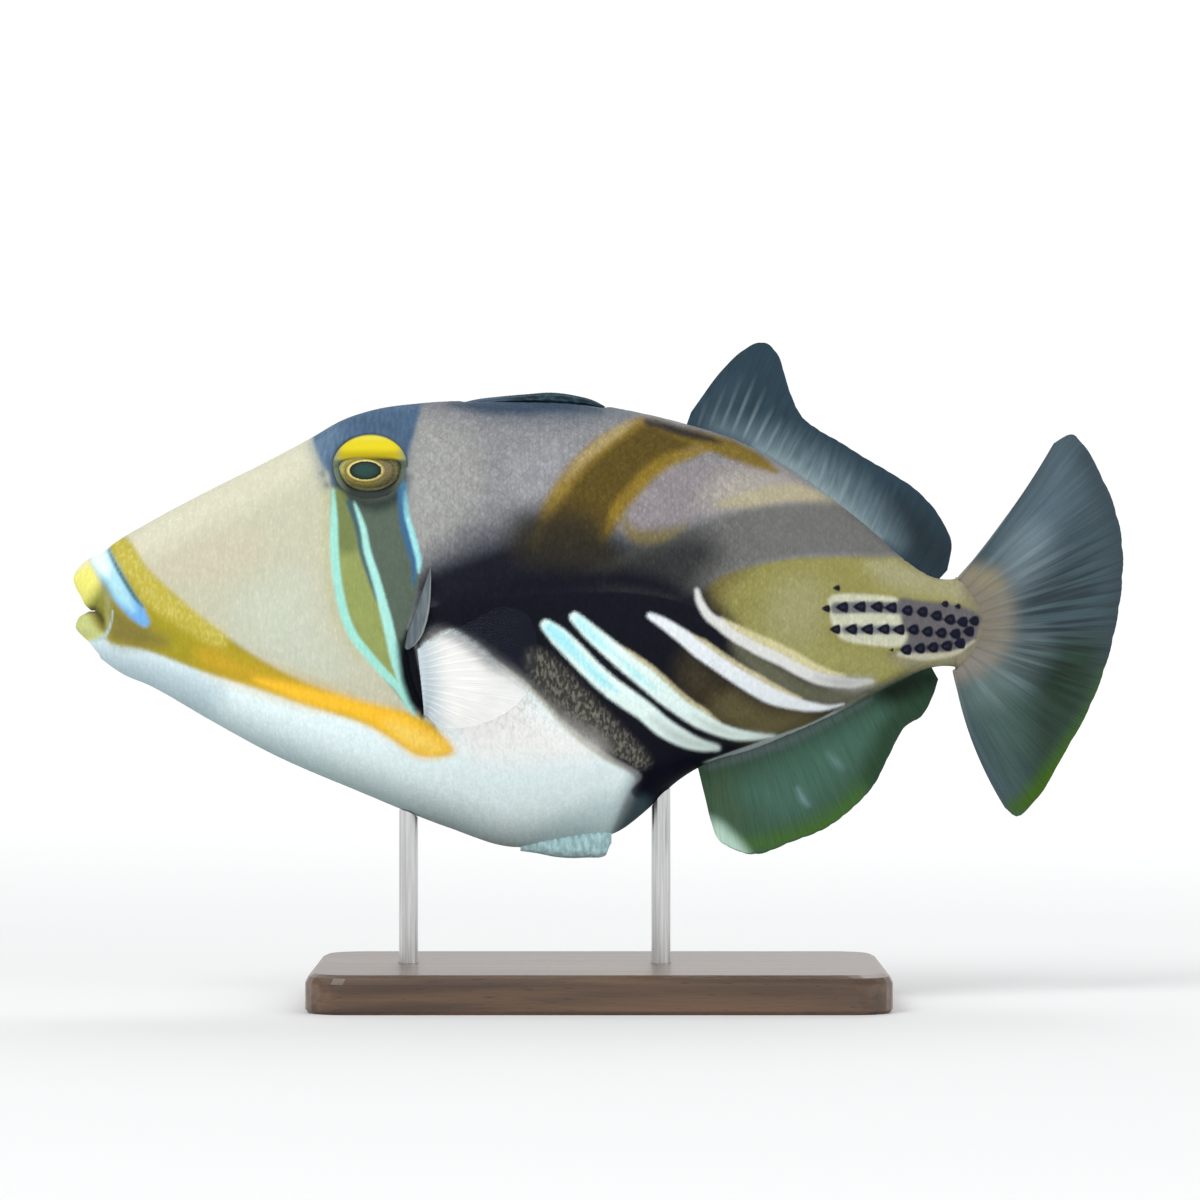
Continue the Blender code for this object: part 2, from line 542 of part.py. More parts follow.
base = loft("stand_base", [rounded_ring(BASE_LENGTH - 2 * inset, BASE_WIDTH - 2 * inset, BASE_CORNER, z)
                           for inset, z in BASE_PROFILE], WOOD)
holes = []
for word, x in ROD_PLACES:
    circle = 2 * math.pi * np.arange(16) / 16
    rim = [(x + ROD_RADIUS * math.cos(a), ROD_RADIUS * math.sin(a)) for a in circle]
    foot = [(a, b, HOLE_FLOOR + GAP) for a, b in rim]
    loft("stand_rod_" + word, [foot, [(a, b, float(level_at(a, b, False)) - GAP) for a, b in rim]], STEEL)
    wide = 1 + GAP / ROD_RADIUS
    hole = [[(x + (a - x) * wide, b * wide, z) for a, b in rim]
            for z in (HOLE_FLOOR, BASE_PROFILE[-1][1] + 1)]
    holes.append(loft("hole", hole, WOOD))
combine(base, holes, "DIFFERENCE")
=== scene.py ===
"""The picasso triggerfish as it is shown: painted scaly skin, clear-edged fins, eyes and the stand.

The frame is the CAD model's: the fish faces -X, its left side is towards -Y, and +Z is up.
Places on the fish are in millimetres in that frame, as (x, z) where they lie on its side. MM
turns them into metres when a mesh is made.
"""
import math

import bpy
import numpy as np
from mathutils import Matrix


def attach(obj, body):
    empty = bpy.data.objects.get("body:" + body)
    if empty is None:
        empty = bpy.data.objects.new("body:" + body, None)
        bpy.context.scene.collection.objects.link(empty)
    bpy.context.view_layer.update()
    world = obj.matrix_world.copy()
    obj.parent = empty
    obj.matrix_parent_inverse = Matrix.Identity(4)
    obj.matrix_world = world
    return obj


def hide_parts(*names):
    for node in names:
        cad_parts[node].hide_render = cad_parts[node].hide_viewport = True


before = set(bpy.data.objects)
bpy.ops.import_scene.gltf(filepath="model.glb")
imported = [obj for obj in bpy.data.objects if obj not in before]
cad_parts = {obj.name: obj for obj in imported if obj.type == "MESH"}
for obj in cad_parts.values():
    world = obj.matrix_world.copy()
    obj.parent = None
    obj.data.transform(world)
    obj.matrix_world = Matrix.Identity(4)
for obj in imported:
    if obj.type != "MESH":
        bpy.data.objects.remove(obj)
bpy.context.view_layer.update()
MM = 0.001

# Studio: a pale round floor that curves up into a low wall on every side and glows softly away
# from the fish, three soft lights and a pale sky. The camera looks level at the fish's left side
# through a long lens, as far off as gives the photograph's frame of 252 mm.

CAMERA_X, CAMERA_LEVEL, CAMERA_AWAY = 0.0002, 0.0842, 1.15
FRAME_WIDTH, SENSOR_WIDTH, CLIP_NEAR, CLIP_FAR = 0.252, 36.0, 0.01, 50.0
FLOOR_COLOUR, FAR_COLOUR = (0.87, 0.87, 0.87), (0.25, 0.25, 0.25)
FLOOR_FLAT, FLOOR_CURVE, WALL_TOP = 2.2, 0.8, 1.3
FLOOR_GLOW, GLOW_START, GLOW_FULL = 0.82, 0.3, 1.6  # how strong, and how far off it starts and is full
SKY_COLOUR, SKY_STRENGTH = (0.97, 0.985, 1.0), 0.56
LIGHTS_AIM = (0, 0, 0.08)
LIGHTS = {  # place, width, watts
    "key": ((-0.75, -1.0, 1.35), 0.9, 11.8),
    "fill": ((1.3, -1.1, 0.7), 1.2, 5.0),
    "back": ((0.4, 1.2, 1.3), 1.0, 7.8),
}


def add_object(name, data):
    """A new object in the scene that shows the data."""
    made = bpy.data.objects.new(name, data)
    bpy.context.scene.collection.objects.link(made)
    return made


def mesh_object(name, points, faces, material, scale=MM):
    """A smooth object from points, in millimetres unless scale says otherwise, and faces."""
    mesh = bpy.data.meshes.new(name)
    mesh.from_pydata((np.asarray(points, float) * scale).tolist(), [], [tuple(f) for f in faces])
    mesh.shade_smooth()
    mesh.materials.append(material)
    return add_object(name, mesh)


def full_turn(count):
    """Angles evenly round a full turn."""
    return np.linspace(0, 2 * math.pi, count, endpoint=False)


def crossed(first, second):
    """Two grids: the first values down the rows and the second along the columns."""
    return np.meshgrid(first, second, indexing="ij")


def grid_faces(rows, columns, closed=False, start=0):
    """Quads between rows of points. closed joins each row's last column to its first."""
    i, j = crossed(np.arange(rows - 1), np.arange(columns - (not closed)))
    k = (j + 1) % columns
    quads = np.stack([i * columns + j, i * columns + k, (i + 1) * columns + k,
                      (i + 1) * columns + j], -1)
    return (quads.reshape(-1, 4) + start).tolist()


class Paint:
    """A material with one Principled shader, and the nodes that feed it."""

    def __init__(self, name, colour, roughness, **more):
        self.material = bpy.data.materials.new(name)
        self.material.use_nodes = True
        self.tree = self.material.node_tree
        self.shader = self.tree.nodes["Principled BSDF"]
        self.packs = {}
        for key, value in dict(more, Base_Color=(*colour, 1), Roughness=roughness).items():
            self.shader.inputs[key.replace("_", " ")].default_value = value

    def add(self, kind, inputs=(), output=0, **settings):
        """The output of a new node. inputs holds numbers or the outputs that feed it."""
        node = self.tree.nodes.new(kind)
        for key, value in settings.items():
            setattr(node, key, value)
        for key, value in dict(inputs).items():
            if isinstance(value, bpy.types.NodeSocket):
                self.tree.links.new(value, node.inputs[key])
            else:
                node.inputs[key].default_value = value
        return node.outputs[output]

    def attribute(self, name, output="Fac"):
        return self.add("ShaderNodeAttribute", attribute_name=name, output=output)

    def mark(self, marks, name):
        """The distance to the edge of a marking, out of the attribute that holds it."""
        pack, part = divmod([row[0] for row in marks].index(name), 3)
        if pack not in self.packs:
            vector = self.attribute("marks_%d" % pack, "Vector")
            self.packs[pack] = self.add("ShaderNodeSeparateXYZ", {0: vector}).node
        return self.packs[pack].outputs[part]

    def math(self, operation, a, b=0.0):
        return self.add("ShaderNodeMath", {0: a, 1: b}, operation=operation)

    def product(self, value, *others):
        for other in others:
            value = self.math("MULTIPLY", value, other)
        return value

    def vector(self, operation, *values, output=0):
        return self.add("ShaderNodeVectorMath", dict(enumerate(values)), output, operation=operation)

    def combine(self, *parts):
        return self.add("ShaderNodeCombineXYZ", dict(enumerate(parts)))

    def ramp(self, value, low, high, start=0.0, end=1.0):
        """start where value is at or below low, end at or above high, and smooth between."""
        return self.add("ShaderNodeMapRange", {0: value, 1: low, 2: high, 3: start, 4: end},
                        interpolation_type="SMOOTHSTEP")

    def blend(self, share, under, over, mode="MIX"):
        share, under, over = ((*v, 1) if isinstance(v, tuple) else v for v in (share, under, over))
        return self.add("ShaderNodeMix", {0: share, 6: under, 7: over}, 2, data_type="RGBA",
                        blend_type=mode)

    def shaded(self, colour, shade):
        return self.blend(1.0, colour, self.combine(shade, shade, shade), "MULTIPLY")

    def place(self, stretch=(1.0, 1.0, 1.0)):
        """The piece's own coordinates, in metres, stretched."""
        spot = self.add("ShaderNodeTexCoord", output="Object")
        return self.add("ShaderNodeMapping", {"Vector": spot, "Scale": stretch})

    def noise(self, scale, detail=2.0, vector=None, output=0):
        inputs = {"Scale": scale, "Detail": detail}
        if vector is not None:
            inputs["Vector"] = vector
        return self.add("ShaderNodeTexNoise", inputs, output)

    def grain(self, x, y, z, detail, output=0):
        """Noise with so many lumps to a metre along each axis."""
        return self.noise(1.0, detail, self.place((x, y, z)), output)

    def swing(self, value):
        """A value that runs from 0 to 1, as one that swings about 0."""
        return self.math("SUBTRACT", value, 0.5)

    def surface(self, colour, bump=None, depth=0.0001):
        self.tree.links.new(colour, self.shader.inputs["Base Color"])
        if bump is not None:
            height = self.add("ShaderNodeBump", {"Height": bump, "Distance": depth, "Strength": 1.0})
            self.tree.links.new(height, self.shader.inputs["Normal"])


camera_data = bpy.data.cameras.new("camera")
camera_data.sensor_width, camera_data.lens = SENSOR_WIDTH, SENSOR_WIDTH * CAMERA_AWAY / FRAME_WIDTH
camera_data.clip_start, camera_data.clip_end = CLIP_NEAR, CLIP_FAR
camera = add_object("camera", camera_data)
camera.location = (CAMERA_X, -CAMERA_AWAY, CAMERA_LEVEL)
camera.rotation_euler = (math.pi / 2, 0, 0)
bpy.context.scene.camera = camera
bpy.context.scene.view_settings.view_transform = "Standard"

profile = [(radius, 0.0) for radius in (0.001, 0.3, 1.2, FLOOR_FLAT)]
profile += [(FLOOR_FLAT + FLOOR_CURVE * math.sin(a), FLOOR_CURVE - FLOOR_CURVE * math.cos(a))
            for a in np.linspace(0.15, 1.57, 12)]
profile += [(FLOOR_FLAT + FLOOR_CURVE, WALL_TOP)]
turn = full_turn(96)
floor_points = [(r * math.cos(a), r * math.sin(a), z) for r, z in profile for a in turn]
n = Paint("floor", FLOOR_COLOUR, 0.9)
floor = mesh_object("floor", floor_points, grid_faces(len(profile), len(turn), True), n.material, 1.0)
n.material.cycles.emission_sampling = "NONE"
away = n.vector("LENGTH", n.add("ShaderNodeTexCoord", output="Object"), output="Value")
glow = n.add("ShaderNodeMapRange", {"Value": away, "From Min": GLOW_START, "From Max": GLOW_FULL,
                                    "To Min": 0.0, "To Max": FLOOR_GLOW})
n.surface(n.blend(n.math("DIVIDE", glow, FLOOR_GLOW), FLOOR_COLOUR, FAR_COLOUR))
n.shader.inputs["Emission Color"].default_value = (1, 1, 1, 1)
n.tree.links.new(glow, n.shader.inputs["Emission Strength"])

world = bpy.data.worlds.new("sky")
world.use_nodes = True
background = world.node_tree.nodes["Background"].inputs
background["Color"].default_value = (*SKY_COLOUR, 1)
background["Strength"].default_value = SKY_STRENGTH
bpy.context.scene.world = world
for name, (place, width, watts) in LIGHTS.items():
    light = bpy.data.lights.new(name, "AREA")
    light.size, light.energy = width, watts
    lamp = add_object(name, light)
    lamp.location = place
    aim = np.array(LIGHTS_AIM) - np.array(place)
    lamp.rotation_euler = (math.acos(-aim[2] / np.linalg.norm(aim)), 0, math.atan2(-aim[0], aim[1]))

# Body: one skin over head, trunk and tail stalk, as the real one is, of small lozenge plates.
# Its form is the CAD's, from the outlines of the back and belly and the half width along the
# body, with the plates, the eye's mound and the gill opening raised or sunk in the mesh itself.

BACK = [(-104.5, 93.9), (-102.3, 95.7), (-94.3, 100.6), (-81.7, 107.3), (-69.1, 113.6), (-60.5, 118.2),
        (-54, 121.9), (-47, 124.2), (-37.6, 125.5), (-20.8, 126.1), (-4, 125.6), (8.6, 123.5),
        (19.1, 120.9), (29.2, 117.6), (41, 110.9), (55.4, 100.4), (65.7, 91.6), (70.5, 88.9),
        (74.5, 88.6), (79, 90)]
BELLY = [(-104.5, 71.8), (-100.6, 69), (-94.3, 66.2), (-81.7, 59), (-69.1, 52.1), (-50.2, 43.9),
         (-31.3, 36.3), (-18.7, 32.4), (-11, 32.6), (-2, 34), (4, 35.6), (10, 40.1), (16, 45.8),
         (22, 49.6), (31.7, 52.6), (42.2, 56.9), (52.7, 61.7), (63.2, 67.2), (70, 70), (74.5, 70.2),
         (79, 68.5)]
HALF_WIDTH = [(-104.5, 5.6), (-95, 7.4), (-80, 9.8), (-65, 12.6), (-50, 15.6), (-35, 18), (-20, 18.8),
              (-5, 18.4), (10, 16.8), (25, 14), (40, 10.6), (55, 7.2), (65, 5.2), (74.5, 4)]
WIDEST_LEVEL = [(-104.5, 82.5), (-80, 80.5), (-50, 78), (-20, 79.5), (20, 84), (50, 81.5), (74.5, 79.3)]
BACK_RIDGE = [(-104.5, 0.9), (-70, 0.85), (-45, 0.85), (-15, 1.05), (30, 1.1), (74.5, 1)]
BELLY_RIDGE = [(-104.5, 0.9), (-80, 1), (-45, 1.15), (-10, 1.35), (20, 1.2), (74.5, 1)]
BEND_START, BEND, FLICK_START, FLICK = 25.0, 0.0012, 78.0, 0.006
SNOUT_FRONT, SNOUT_LEVEL, SNOUT_ROUND = -104.35, 82.4, 1.4
STALK_END, END_LEVEL, END_HALF_HIGH, END_HALF_WIDE = 75.0, 79.2, 9.8, 1.0
ARC_X, ARC_DEPTH, ARC_LEVEL, ARC_HALF = 75.5, 5.6, 79.3, 10.2  # where the tail fin begins
STATIONS, ROUND = 330, 300
PLATE_LENGTH, PLATE_HEIGHT, PLATE_RISE = 2.7, 2.35, 0.04
EYE_X, EYE_LEVEL, EYE_SIZE, EYE_OUT = -47.6, 111.9, (7.2, 4.2, 5.4), 1.6
GILL_SLIT = [(-40.9, 74.6), (-40.5, 72), (-40.1, 69.1), (-38.9, 64.9), (-37.2, 61.4)]
NOSTRILS = [(-57.6, 110.4), (-56.6, 108)]


def smooth_curve(points):
    """A smooth function through the points: cubic pieces with the slope of the neighbours."""
    xs, ys = np.array(points, float).T
    slopes = np.gradient(ys, xs)

    def value(x):
        x = np.clip(x, xs[0], xs[-1])
        i = np.clip(np.searchsorted(xs, x, side="right") - 1, 0, len(xs) - 2)
        step = xs[i + 1] - xs[i]
        t = (x - xs[i]) / step
        rise = ys[i + 1] - ys[i]
        first, last = slopes[i] * step - rise, rise - slopes[i + 1] * step
        return ys[i] + t * rise + t * (1 - t) * ((1 - t) * first + t * last)

    return value


def step_between(value, low, high):
    """0 below low, 1 above high and smooth between them. low may be the larger."""
    t = np.clip((value - low) / (high - low), 0, 1)
    return t * t * (3 - 2 * t)


back, belly = smooth_curve(BACK), smooth_curve(BELLY)
half_width, widest_level = smooth_curve(HALF_WIDTH), smooth_curve(WIDEST_LEVEL)
back_ridge, belly_ridge = smooth_curve(BACK_RIDGE), smooth_curve(BELLY_RIDGE)


def bend(x):
    """How far the body's middle plane has swung to +Y at x."""
    return BEND * np.maximum(x - BEND_START, 0) ** 2 + FLICK * np.maximum(x - FLICK_START, 0) ** 2


def tail_arc(z):
    """Where the stalk ends at the level z."""
    return ARC_X + ARC_DEPTH * (1 - ((z - ARC_LEVEL) / ARC_HALF) ** 2)


def section_point(x, angle):
    """The skin's point at x and at an angle round the body: 0 is the right side, pi / 2 the back."""
    side, rise = np.cos(angle), np.sin(angle)
    upper = rise >= 0
    power = np.where(upper, back_ridge(x), belly_ridge(x))
    height = np.where(upper, back(x) - widest_level(x), widest_level(x) - belly(x))
    y = half_width(x) * np.sign(side) * np.abs(side) ** power
    return np.stack([x + 0 * angle, bend(x) + y, widest_level(x) + height * rise], -1)


def side_at(x, z):
    """The skin's half width at x and at the level z."""
    upper = z >= widest_level(x)
    height = np.where(upper, back(x) - widest_level(x), widest_level(x) - belly(x))
    power = np.where(upper, back_ridge(x), belly_ridge(x))
    share = np.clip(np.abs(z - widest_level(x)) / height, 0, 1)
    return half_width(x) * (1 - share ** 2) ** (power / 2)


def on_skin(x, z, side, lift=0.0):
    """Points on the skin at x and z, on the side -1 (left) or 1 (right), lifted along its normal."""
    reach = 0.5
    x, z, lift = np.broadcast_arrays(np.asarray(x, float), z, lift)
    point = np.stack([x, bend(x) + side * side_at(x, z), z], -1)
    none, far = 0 * x, 0 * x + 2 * reach
    along = np.stack([far, side * (side_at(x + reach, z) - side_at(x - reach, z)), none], -1)
    up = np.stack([none, side * (side_at(x, z + reach) - side_at(x, z - reach)), far], -1)
    normal = np.cross(up, along) * side
    normal /= np.linalg.norm(normal, axis=-1, keepdims=True)
    return point + lift[..., None] * normal


def grid_normals(points, closed):
    """The unit normal at each point of a grid."""
    down = np.gradient(points, axis=0)
    if closed:
        along = np.roll(points, -1, axis=1) - np.roll(points, 1, axis=1)
    else:
        along = np.gradient(points, axis=1)
    normal = np.cross(along, down)
    return normal / np.maximum(np.linalg.norm(normal, axis=-1, keepdims=True), 1e-9)


def curve_through(points, closed=False, steps=6):
    """Points along a smooth curve through the ones given, a closed ring or an open line."""
    points = np.array(points, float)
    count = len(points)
    if closed:
        before, after = np.roll(points, 1, 0), np.roll(points, -1, 0)
        starts = range(count)
    else:
        before = np.vstack([2 * points[:1] - points[1:2], points[:-1]])
        after = np.vstack([points[1:], 2 * points[-1:] - points[-2:-1]])
        starts = range(count - 1)
    slope = (after - before) / 2
    made = []
    for i in starts:
        k = (i + 1) % count
        for t in np.arange(steps) / steps:
            made.append((2 * t ** 3 - 3 * t ** 2 + 1) * points[i] + (t ** 3 - 2 * t ** 2 + t) * slope[i]
                        + (3 * t ** 2 - 2 * t ** 3) * points[k] + (t ** 3 - t ** 2) * slope[k])
    if not closed:
        made.append(points[-1])
    return np.array(made)


FAR = 14.0  # millimetres past which a distance no longer matters


def distance_to(curve, x, z, closed=False, widths=None):
    """The distance of each x and z to a curve, below 0 inside a closed curve or within widths."""
    result = np.full(x.shape, FAR)
    margin = FAR + (max(widths) if widths is not None else 0)
    low, high = curve.min(0) - margin, curve.max(0) + margin
    near = (x > low[0]) & (x < high[0]) & (z > low[1]) & (z < high[1])
    px, pz = x[near], z[near]
    best, inside = np.full(px.shape, 1e9), np.zeros(px.shape, bool)
    count = len(curve)
    for i in range(count if closed else count - 1):
        ax, az = curve[i]
        bx, bz = curve[(i + 1) % count]
        length = max((bx - ax) ** 2 + (bz - az) ** 2, 1e-9)
        t = np.clip(((px - ax) * (bx - ax) + (pz - az) * (bz - az)) / length, 0, 1)
        gap = np.hypot(px - ax - t * (bx - ax), pz - az - t * (bz - az))
        if widths is not None:
            gap = gap - (widths[i] + t * (widths[min(i + 1, count - 1)] - widths[i]))
        best = np.minimum(best, gap)
        if closed:
            inside ^= ((az > pz) != (bz > pz)) & (px < (bx - ax) * (pz - az) / (bz - az + 1e-12) + ax)
    result[near] = np.minimum(np.where(inside, -best, best), FAR)
    return np.maximum(result, -FAR)


# The markings, from the lowest coat of paint to the topmost: a name, how wide the edge fades and
# how far it wanders in mm, how strong the paint is, its colour, and points (x, z) in mm. They are
# a closed outline, or a line where half widths follow, from its start to its end.
MARKS = [
    ("shoulder", 10, 0.6, 0.62, (0.46, 0.465, 0.425),
     [(-39.5, 120), (-27, 118), (-24.5, 108), (-30, 98), (-40, 92)]),
    ("side_pale", 7, 0.8, 0.75, (0.37, 0.375, 0.4),
     [(-18, 115), (-6, 116), (-9, 109), (-13, 103), (-19, 106)]),
    ("back_edge", 8, 0.5, 0.9, (0.085, 0.12, 0.165),
     [(-38, 126.6), (-30, 127), (-20.8, 126.6), (-6, 126.2), (8, 124.8)], (0.8, 2, 4.2, 4.4, 1.2)),
    ("dusk", 9, 0.8, 0.85, (0.07, 0.08, 0.098),
     [(-38, 89), (-34.8, 93.6), (-30, 96.2), (-27.8, 98), (-20.8, 100.4), (-14, 102.4), (-4, 101.5),
      (6, 99), (12, 95), (8.6, 80), (-36.5, 80)]),
    ("brown_between", 2.5, 0.7, 1, (0.122, 0.082, 0.018),
     [(9.5, 122.2), (16.5, 120.4), (22.5, 117.6), (13.1, 112.6), (7.6, 107.8), (3.5, 102.1), (1, 95.6),
      (-7.2, 95.8), (-12.4, 97.7), (-9, 105.2), (-4, 111.6), (2, 117.3)]),
    ("pink", 2.5, 0.6, 0.95, (0.315, 0.285, 0.3),
     [(4.4, 99.2), (6.5, 103.4), (10, 107.6), (14.2, 110.8), (19.1, 112.8), (25.4, 113.4),
      (31.7, 113.3), (38.7, 110.9), (42.9, 108.3), (46.4, 106.4), (38.7, 104.5), (28.2, 103.1),
      (21.2, 101.3), (15.6, 98.5), (11.4, 97.1), (7.2, 97.5)]),
    ("pink_pale", 7, 0.6, 0.8, (0.47, 0.435, 0.375),
     [(21, 104.5), (26, 110.5), (34, 111.3), (42, 108), (47, 105.6), (38.7, 104.9), (28.2, 103.5)]),
    ("beige_rear", 1.8, 0.6, 0.85, (0.5, 0.45, 0.29),
     [(24.2, 104.1), (28.6, 106.1), (40.1, 108.3), (50.2, 104.8), (57.9, 99.6), (56, 99.6), (49, 103.4),
      (40, 104.6), (30.7, 103.1)]),
    ("khaki", 0.9, 0.4, 1, (0.325, 0.305, 0.098),
     [(20.6, 85.4), (26.2, 89.6), (37.4, 92.6), (48.7, 93.4), (62.8, 93.2), (73.7, 90.1), (84.2, 86.3),
      (84.2, 69.5), (71.6, 69.9), (63.2, 68.2), (56.1, 66.1), (45.4, 67.4), (38.6, 70.7), (31.9, 74.1),
      (26.9, 78.3), (22.5, 82.5)]),
    ("khaki_dusk", 6, 0.5, 0.8, (0.185, 0.145, 0.05),
     [(20.6, 85.4), (24, 89), (31, 91.3), (27, 86), (25, 80.5), (22.5, 82.5)]),
    ("stalk_pale", 5, 0.6, 0.6, (0.46, 0.44, 0.29),
     [(56, 92), (62, 92.6), (68, 91.3), (77, 91.5), (77, 84.5), (68, 85.4), (60, 87.4)]),
    ("khaki_low", 6, 0.6, 0.8, (0.385, 0.372, 0.135),
     [(31, 78.5), (44, 75.5), (60, 71.5), (57, 68.6), (46, 69.8), (36, 73.8)]),
    ("khaki_bright", 8, 0.5, 0.8, (0.39, 0.375, 0.19),
     [(36, 86), (42, 89), (47, 86), (46, 77), (40, 75), (35, 79)]),
    ("stalk_low", 4, 0.6, 0.8, (0.33, 0.31, 0.22),
     [(61, 72.5), (70, 71.8), (78, 73.5), (78, 67), (68, 68.4)]),
    ("tail_root", 8, 0.9, 1, (0.27, 0.24, 0.185),
     [(78, 94), (76.4, 87), (78.4, 80.5), (77, 75), (75.4, 70), (76.4, 66), (90, 66), (90, 94)]),
    ("dark_upper", 5, 0.8, 0.97, (0.008, 0.009, 0.018),
     [(-37, 86), (-34.8, 89.8), (-27.8, 92.8), (-20.8, 95.4), (-14, 97), (-6, 96.6), (2, 95.2),
      (10.7, 92.6), (21.2, 89.1), (23.7, 84.2), (29.6, 75.8), (21.2, 59), (0.2, 67.4), (-16.6, 75.8),
      (-29.2, 77.9)]),
    ("grey_band", 2.6, 0.6, 0.9, (0.165, 0.168, 0.158),
     [(-1.9, 89.4), (7.3, 94.7), (15.5, 97.8), (22.5, 100.6), (33.6, 103.7), (48.7, 104.6), (57.3, 102),
      (64.3, 96.8), (62.8, 93.4), (48.7, 93.4), (37.4, 92.6), (26.2, 89.6), (19.1, 85.4), (8.6, 84.2)]),
    ("band_dark", 9, 0.7, 0.9, (0.026, 0.028, 0.03),
     [(-4, 90.5), (5.3, 95), (16.5, 98.3), (23, 97.6), (25, 93), (21.2, 88), (17, 83), (2, 82)]),
    ("olive_rim", 2.6, 0.7, 0.8, (0.225, 0.18, 0.055),
     [(4.6, 101.5), (7.6, 97.6), (13, 97.5), (18, 99.6)], (0.6, 1.5, 1.2, 0.3)),
    ("dark_brush", 5, 1.3, 1, (0.007, 0.008, 0.016),
     [(-31, 83.4), (-20, 86.4), (-8, 88.2), (6, 88.4), (14, 86.4), (19, 83.6)],
     (0.8, 1.6, 2.2, 2.2, 1.8, 0.8)),
    ("dark_lower", 0.7, 0.5, 1, (0.007, 0.008, 0.015),
     [(-36.8, 81.6), (-27.1, 84), (-8.2, 85.6), (8.6, 85.6), (19.6, 83), (21.4, 81.6), (26.9, 77.5),
      (31.9, 73.3), (38.6, 69.9), (45.4, 66.5), (52.7, 65.3), (48.5, 60.7), (35.9, 54.2), (21.2, 47.3),
      (10.7, 42.2), (6.5, 44.3), (8.8, 47.8), (1.3, 52.5), (-5.5, 57.5), (-12.2, 64.2), (-16, 67.8),
      (-20.8, 71.6), (-25.4, 75.8), (-30.9, 78.3), (-35.5, 75.8), (-37.6, 74.1)]),
    ("brown_bc", 8, 0.7, 0.8, (0.072, 0.058, 0.029),
     [(19, 73), (28, 66.5), (44, 61.5), (36, 55), (26, 58), (17, 66)]),
    ("olive_cd", 4, 0.5, 0.95, (0.15, 0.15, 0.1),
     [(28, 75.8), (38.6, 70), (45.4, 66.7), (57.8, 65.9), (48.4, 61.6), (38, 64.5), (30, 70.4)]),
    ("olive_bc", 5, 0.5, 0.95, (0.14, 0.12, 0.055),
     [(27.7, 64.8), (35.9, 61), (47.3, 59.8), (40, 55), (30.6, 56), (23.4, 61.1)]),
    ("streak_1", 2.6, 0.6, 0.95, (0.32, 0.215, 0.035),
     [(8.6, 121.6), (1, 116.8), (-3.9, 112.4), (-7.7, 107.6), (-10.2, 103.4), (-12, 99.2),
      (-13.4, 95.4)], (0.9, 1.5, 1.6, 1.6, 1.5, 1.1, 0.4)),
    ("streak_1_pale", 2, 0.6, 0.85, (0.5, 0.4, 0.19),
     [(6.6, 121.2), (4.4, 119.6), (0.6, 117), (-3.4, 113.4), (-6.8, 109.2)], (0.4, 0.9, 0.9, 0.7, 0.1)),
    ("streak_2", 2.2, 0.6, 0.95, (0.29, 0.192, 0.022),
     [(23.3, 116.2), (19.1, 114.8), (14.2, 113.1), (10.4, 110.3), (6.9, 106.6), (4.1, 103.1),
      (2.2, 99.6), (0.2, 96.4)], (0.7, 1.2, 1.5, 1.6, 1.6, 1.5, 1.1, 0.4)),
    ("streak_fade", 8, 0.8, 0.92, (0.034, 0.03, 0.02),
     [(-17, 101), (-8, 103), (-1, 101), (3, 96.6), (3, 91.5), (-16, 92.5)]),
    ("base_ochre", 1.6, 0.5, 0.95, (0.23, 0.158, 0.02),
     [(12, 120.4), (20, 118), (27, 115.8), (33, 113.2), (37, 110.9)], (0.5, 1.5, 2, 1.5, 0.4)),
    ("base_dark", 1.8, 0.5, 1, (0.032, 0.028, 0.03),
     [(10, 121.5), (14, 120.3), (18, 119.1), (22, 117.9), (25.5, 116.8)], (0.5, 0.9, 0.95, 0.7, 0.2)),
    ("spiny_shadow", 2.6, 0.4, 0.9, (0.04, 0.072, 0.12),
     [(-31, 125.2), (-24, 124.8), (-16, 124.6), (-8.2, 124.7), (0.2, 124)], (0.5, 1.5, 1.7, 1.3, 0.5)),
    ("face", 0.9, 0.3, 1, (0.64, 0.635, 0.48),
     [(-117.4, 63.2), (-117.4, 122), (-58.6, 126.2), (-55.9, 110.2), (-55.2, 94), (-53.5, 81.7),
      (-47.9, 72.6), (-39.9, 62.3), (-35.1, 57.9), (-62.8, 50.6)]),
    ("forehead", 8, 0.8, 0.95, (0.78, 0.765, 0.585),
     [(-103.7, 92.6), (-94.3, 103), (-77.5, 113.5), (-60.3, 122.5), (-58.5, 113.5), (-66.9, 107.1),
      (-83.8, 98.7), (-96.4, 91.5)]),
    ("snout_warm", 7, 0.8, 0.5, (0.69, 0.62, 0.45),
     [(-96, 91), (-84, 96), (-72, 99), (-72, 92), (-84, 88)]),
    ("cheek_green", 9, 1, 0.7, (0.64, 0.705, 0.58),
     [(-76, 83), (-62, 90), (-58, 78), (-52, 70), (-60, 68.5), (-72, 74.5)]),
    ("line_1_tint", 3.6, 0.5, 0.5, (0.5, 0.52, 0.21),
     [(-58.2, 114.6), (-56.7, 107.3), (-56.5, 94.7), (-55, 82.2), (-50, 72)],
     (0.4, 0.6, 0.6, 0.4, 0.2)),
    ("under_front", 0.6, 0.3, 1, (0.33, 0.385, 0.125),
     [(-55, 109.4), (-50.8, 104.1), (-48.5, 95.1), (-44.9, 85), (-43, 74.7), (-40.9, 67.4),
      (-39.7, 61.9), (-43.7, 68.2), (-47.9, 72.6), (-51.7, 77.5), (-53.5, 81.7), (-55, 94),
      (-55.2, 100.6)]),
    ("under_top", 2.6, 0.5, 0.9, (0.19, 0.235, 0.086),
     [(-55, 106), (-50.5, 104), (-50, 98), (-50.3, 94.5), (-54.3, 94.5), (-55, 100)]),
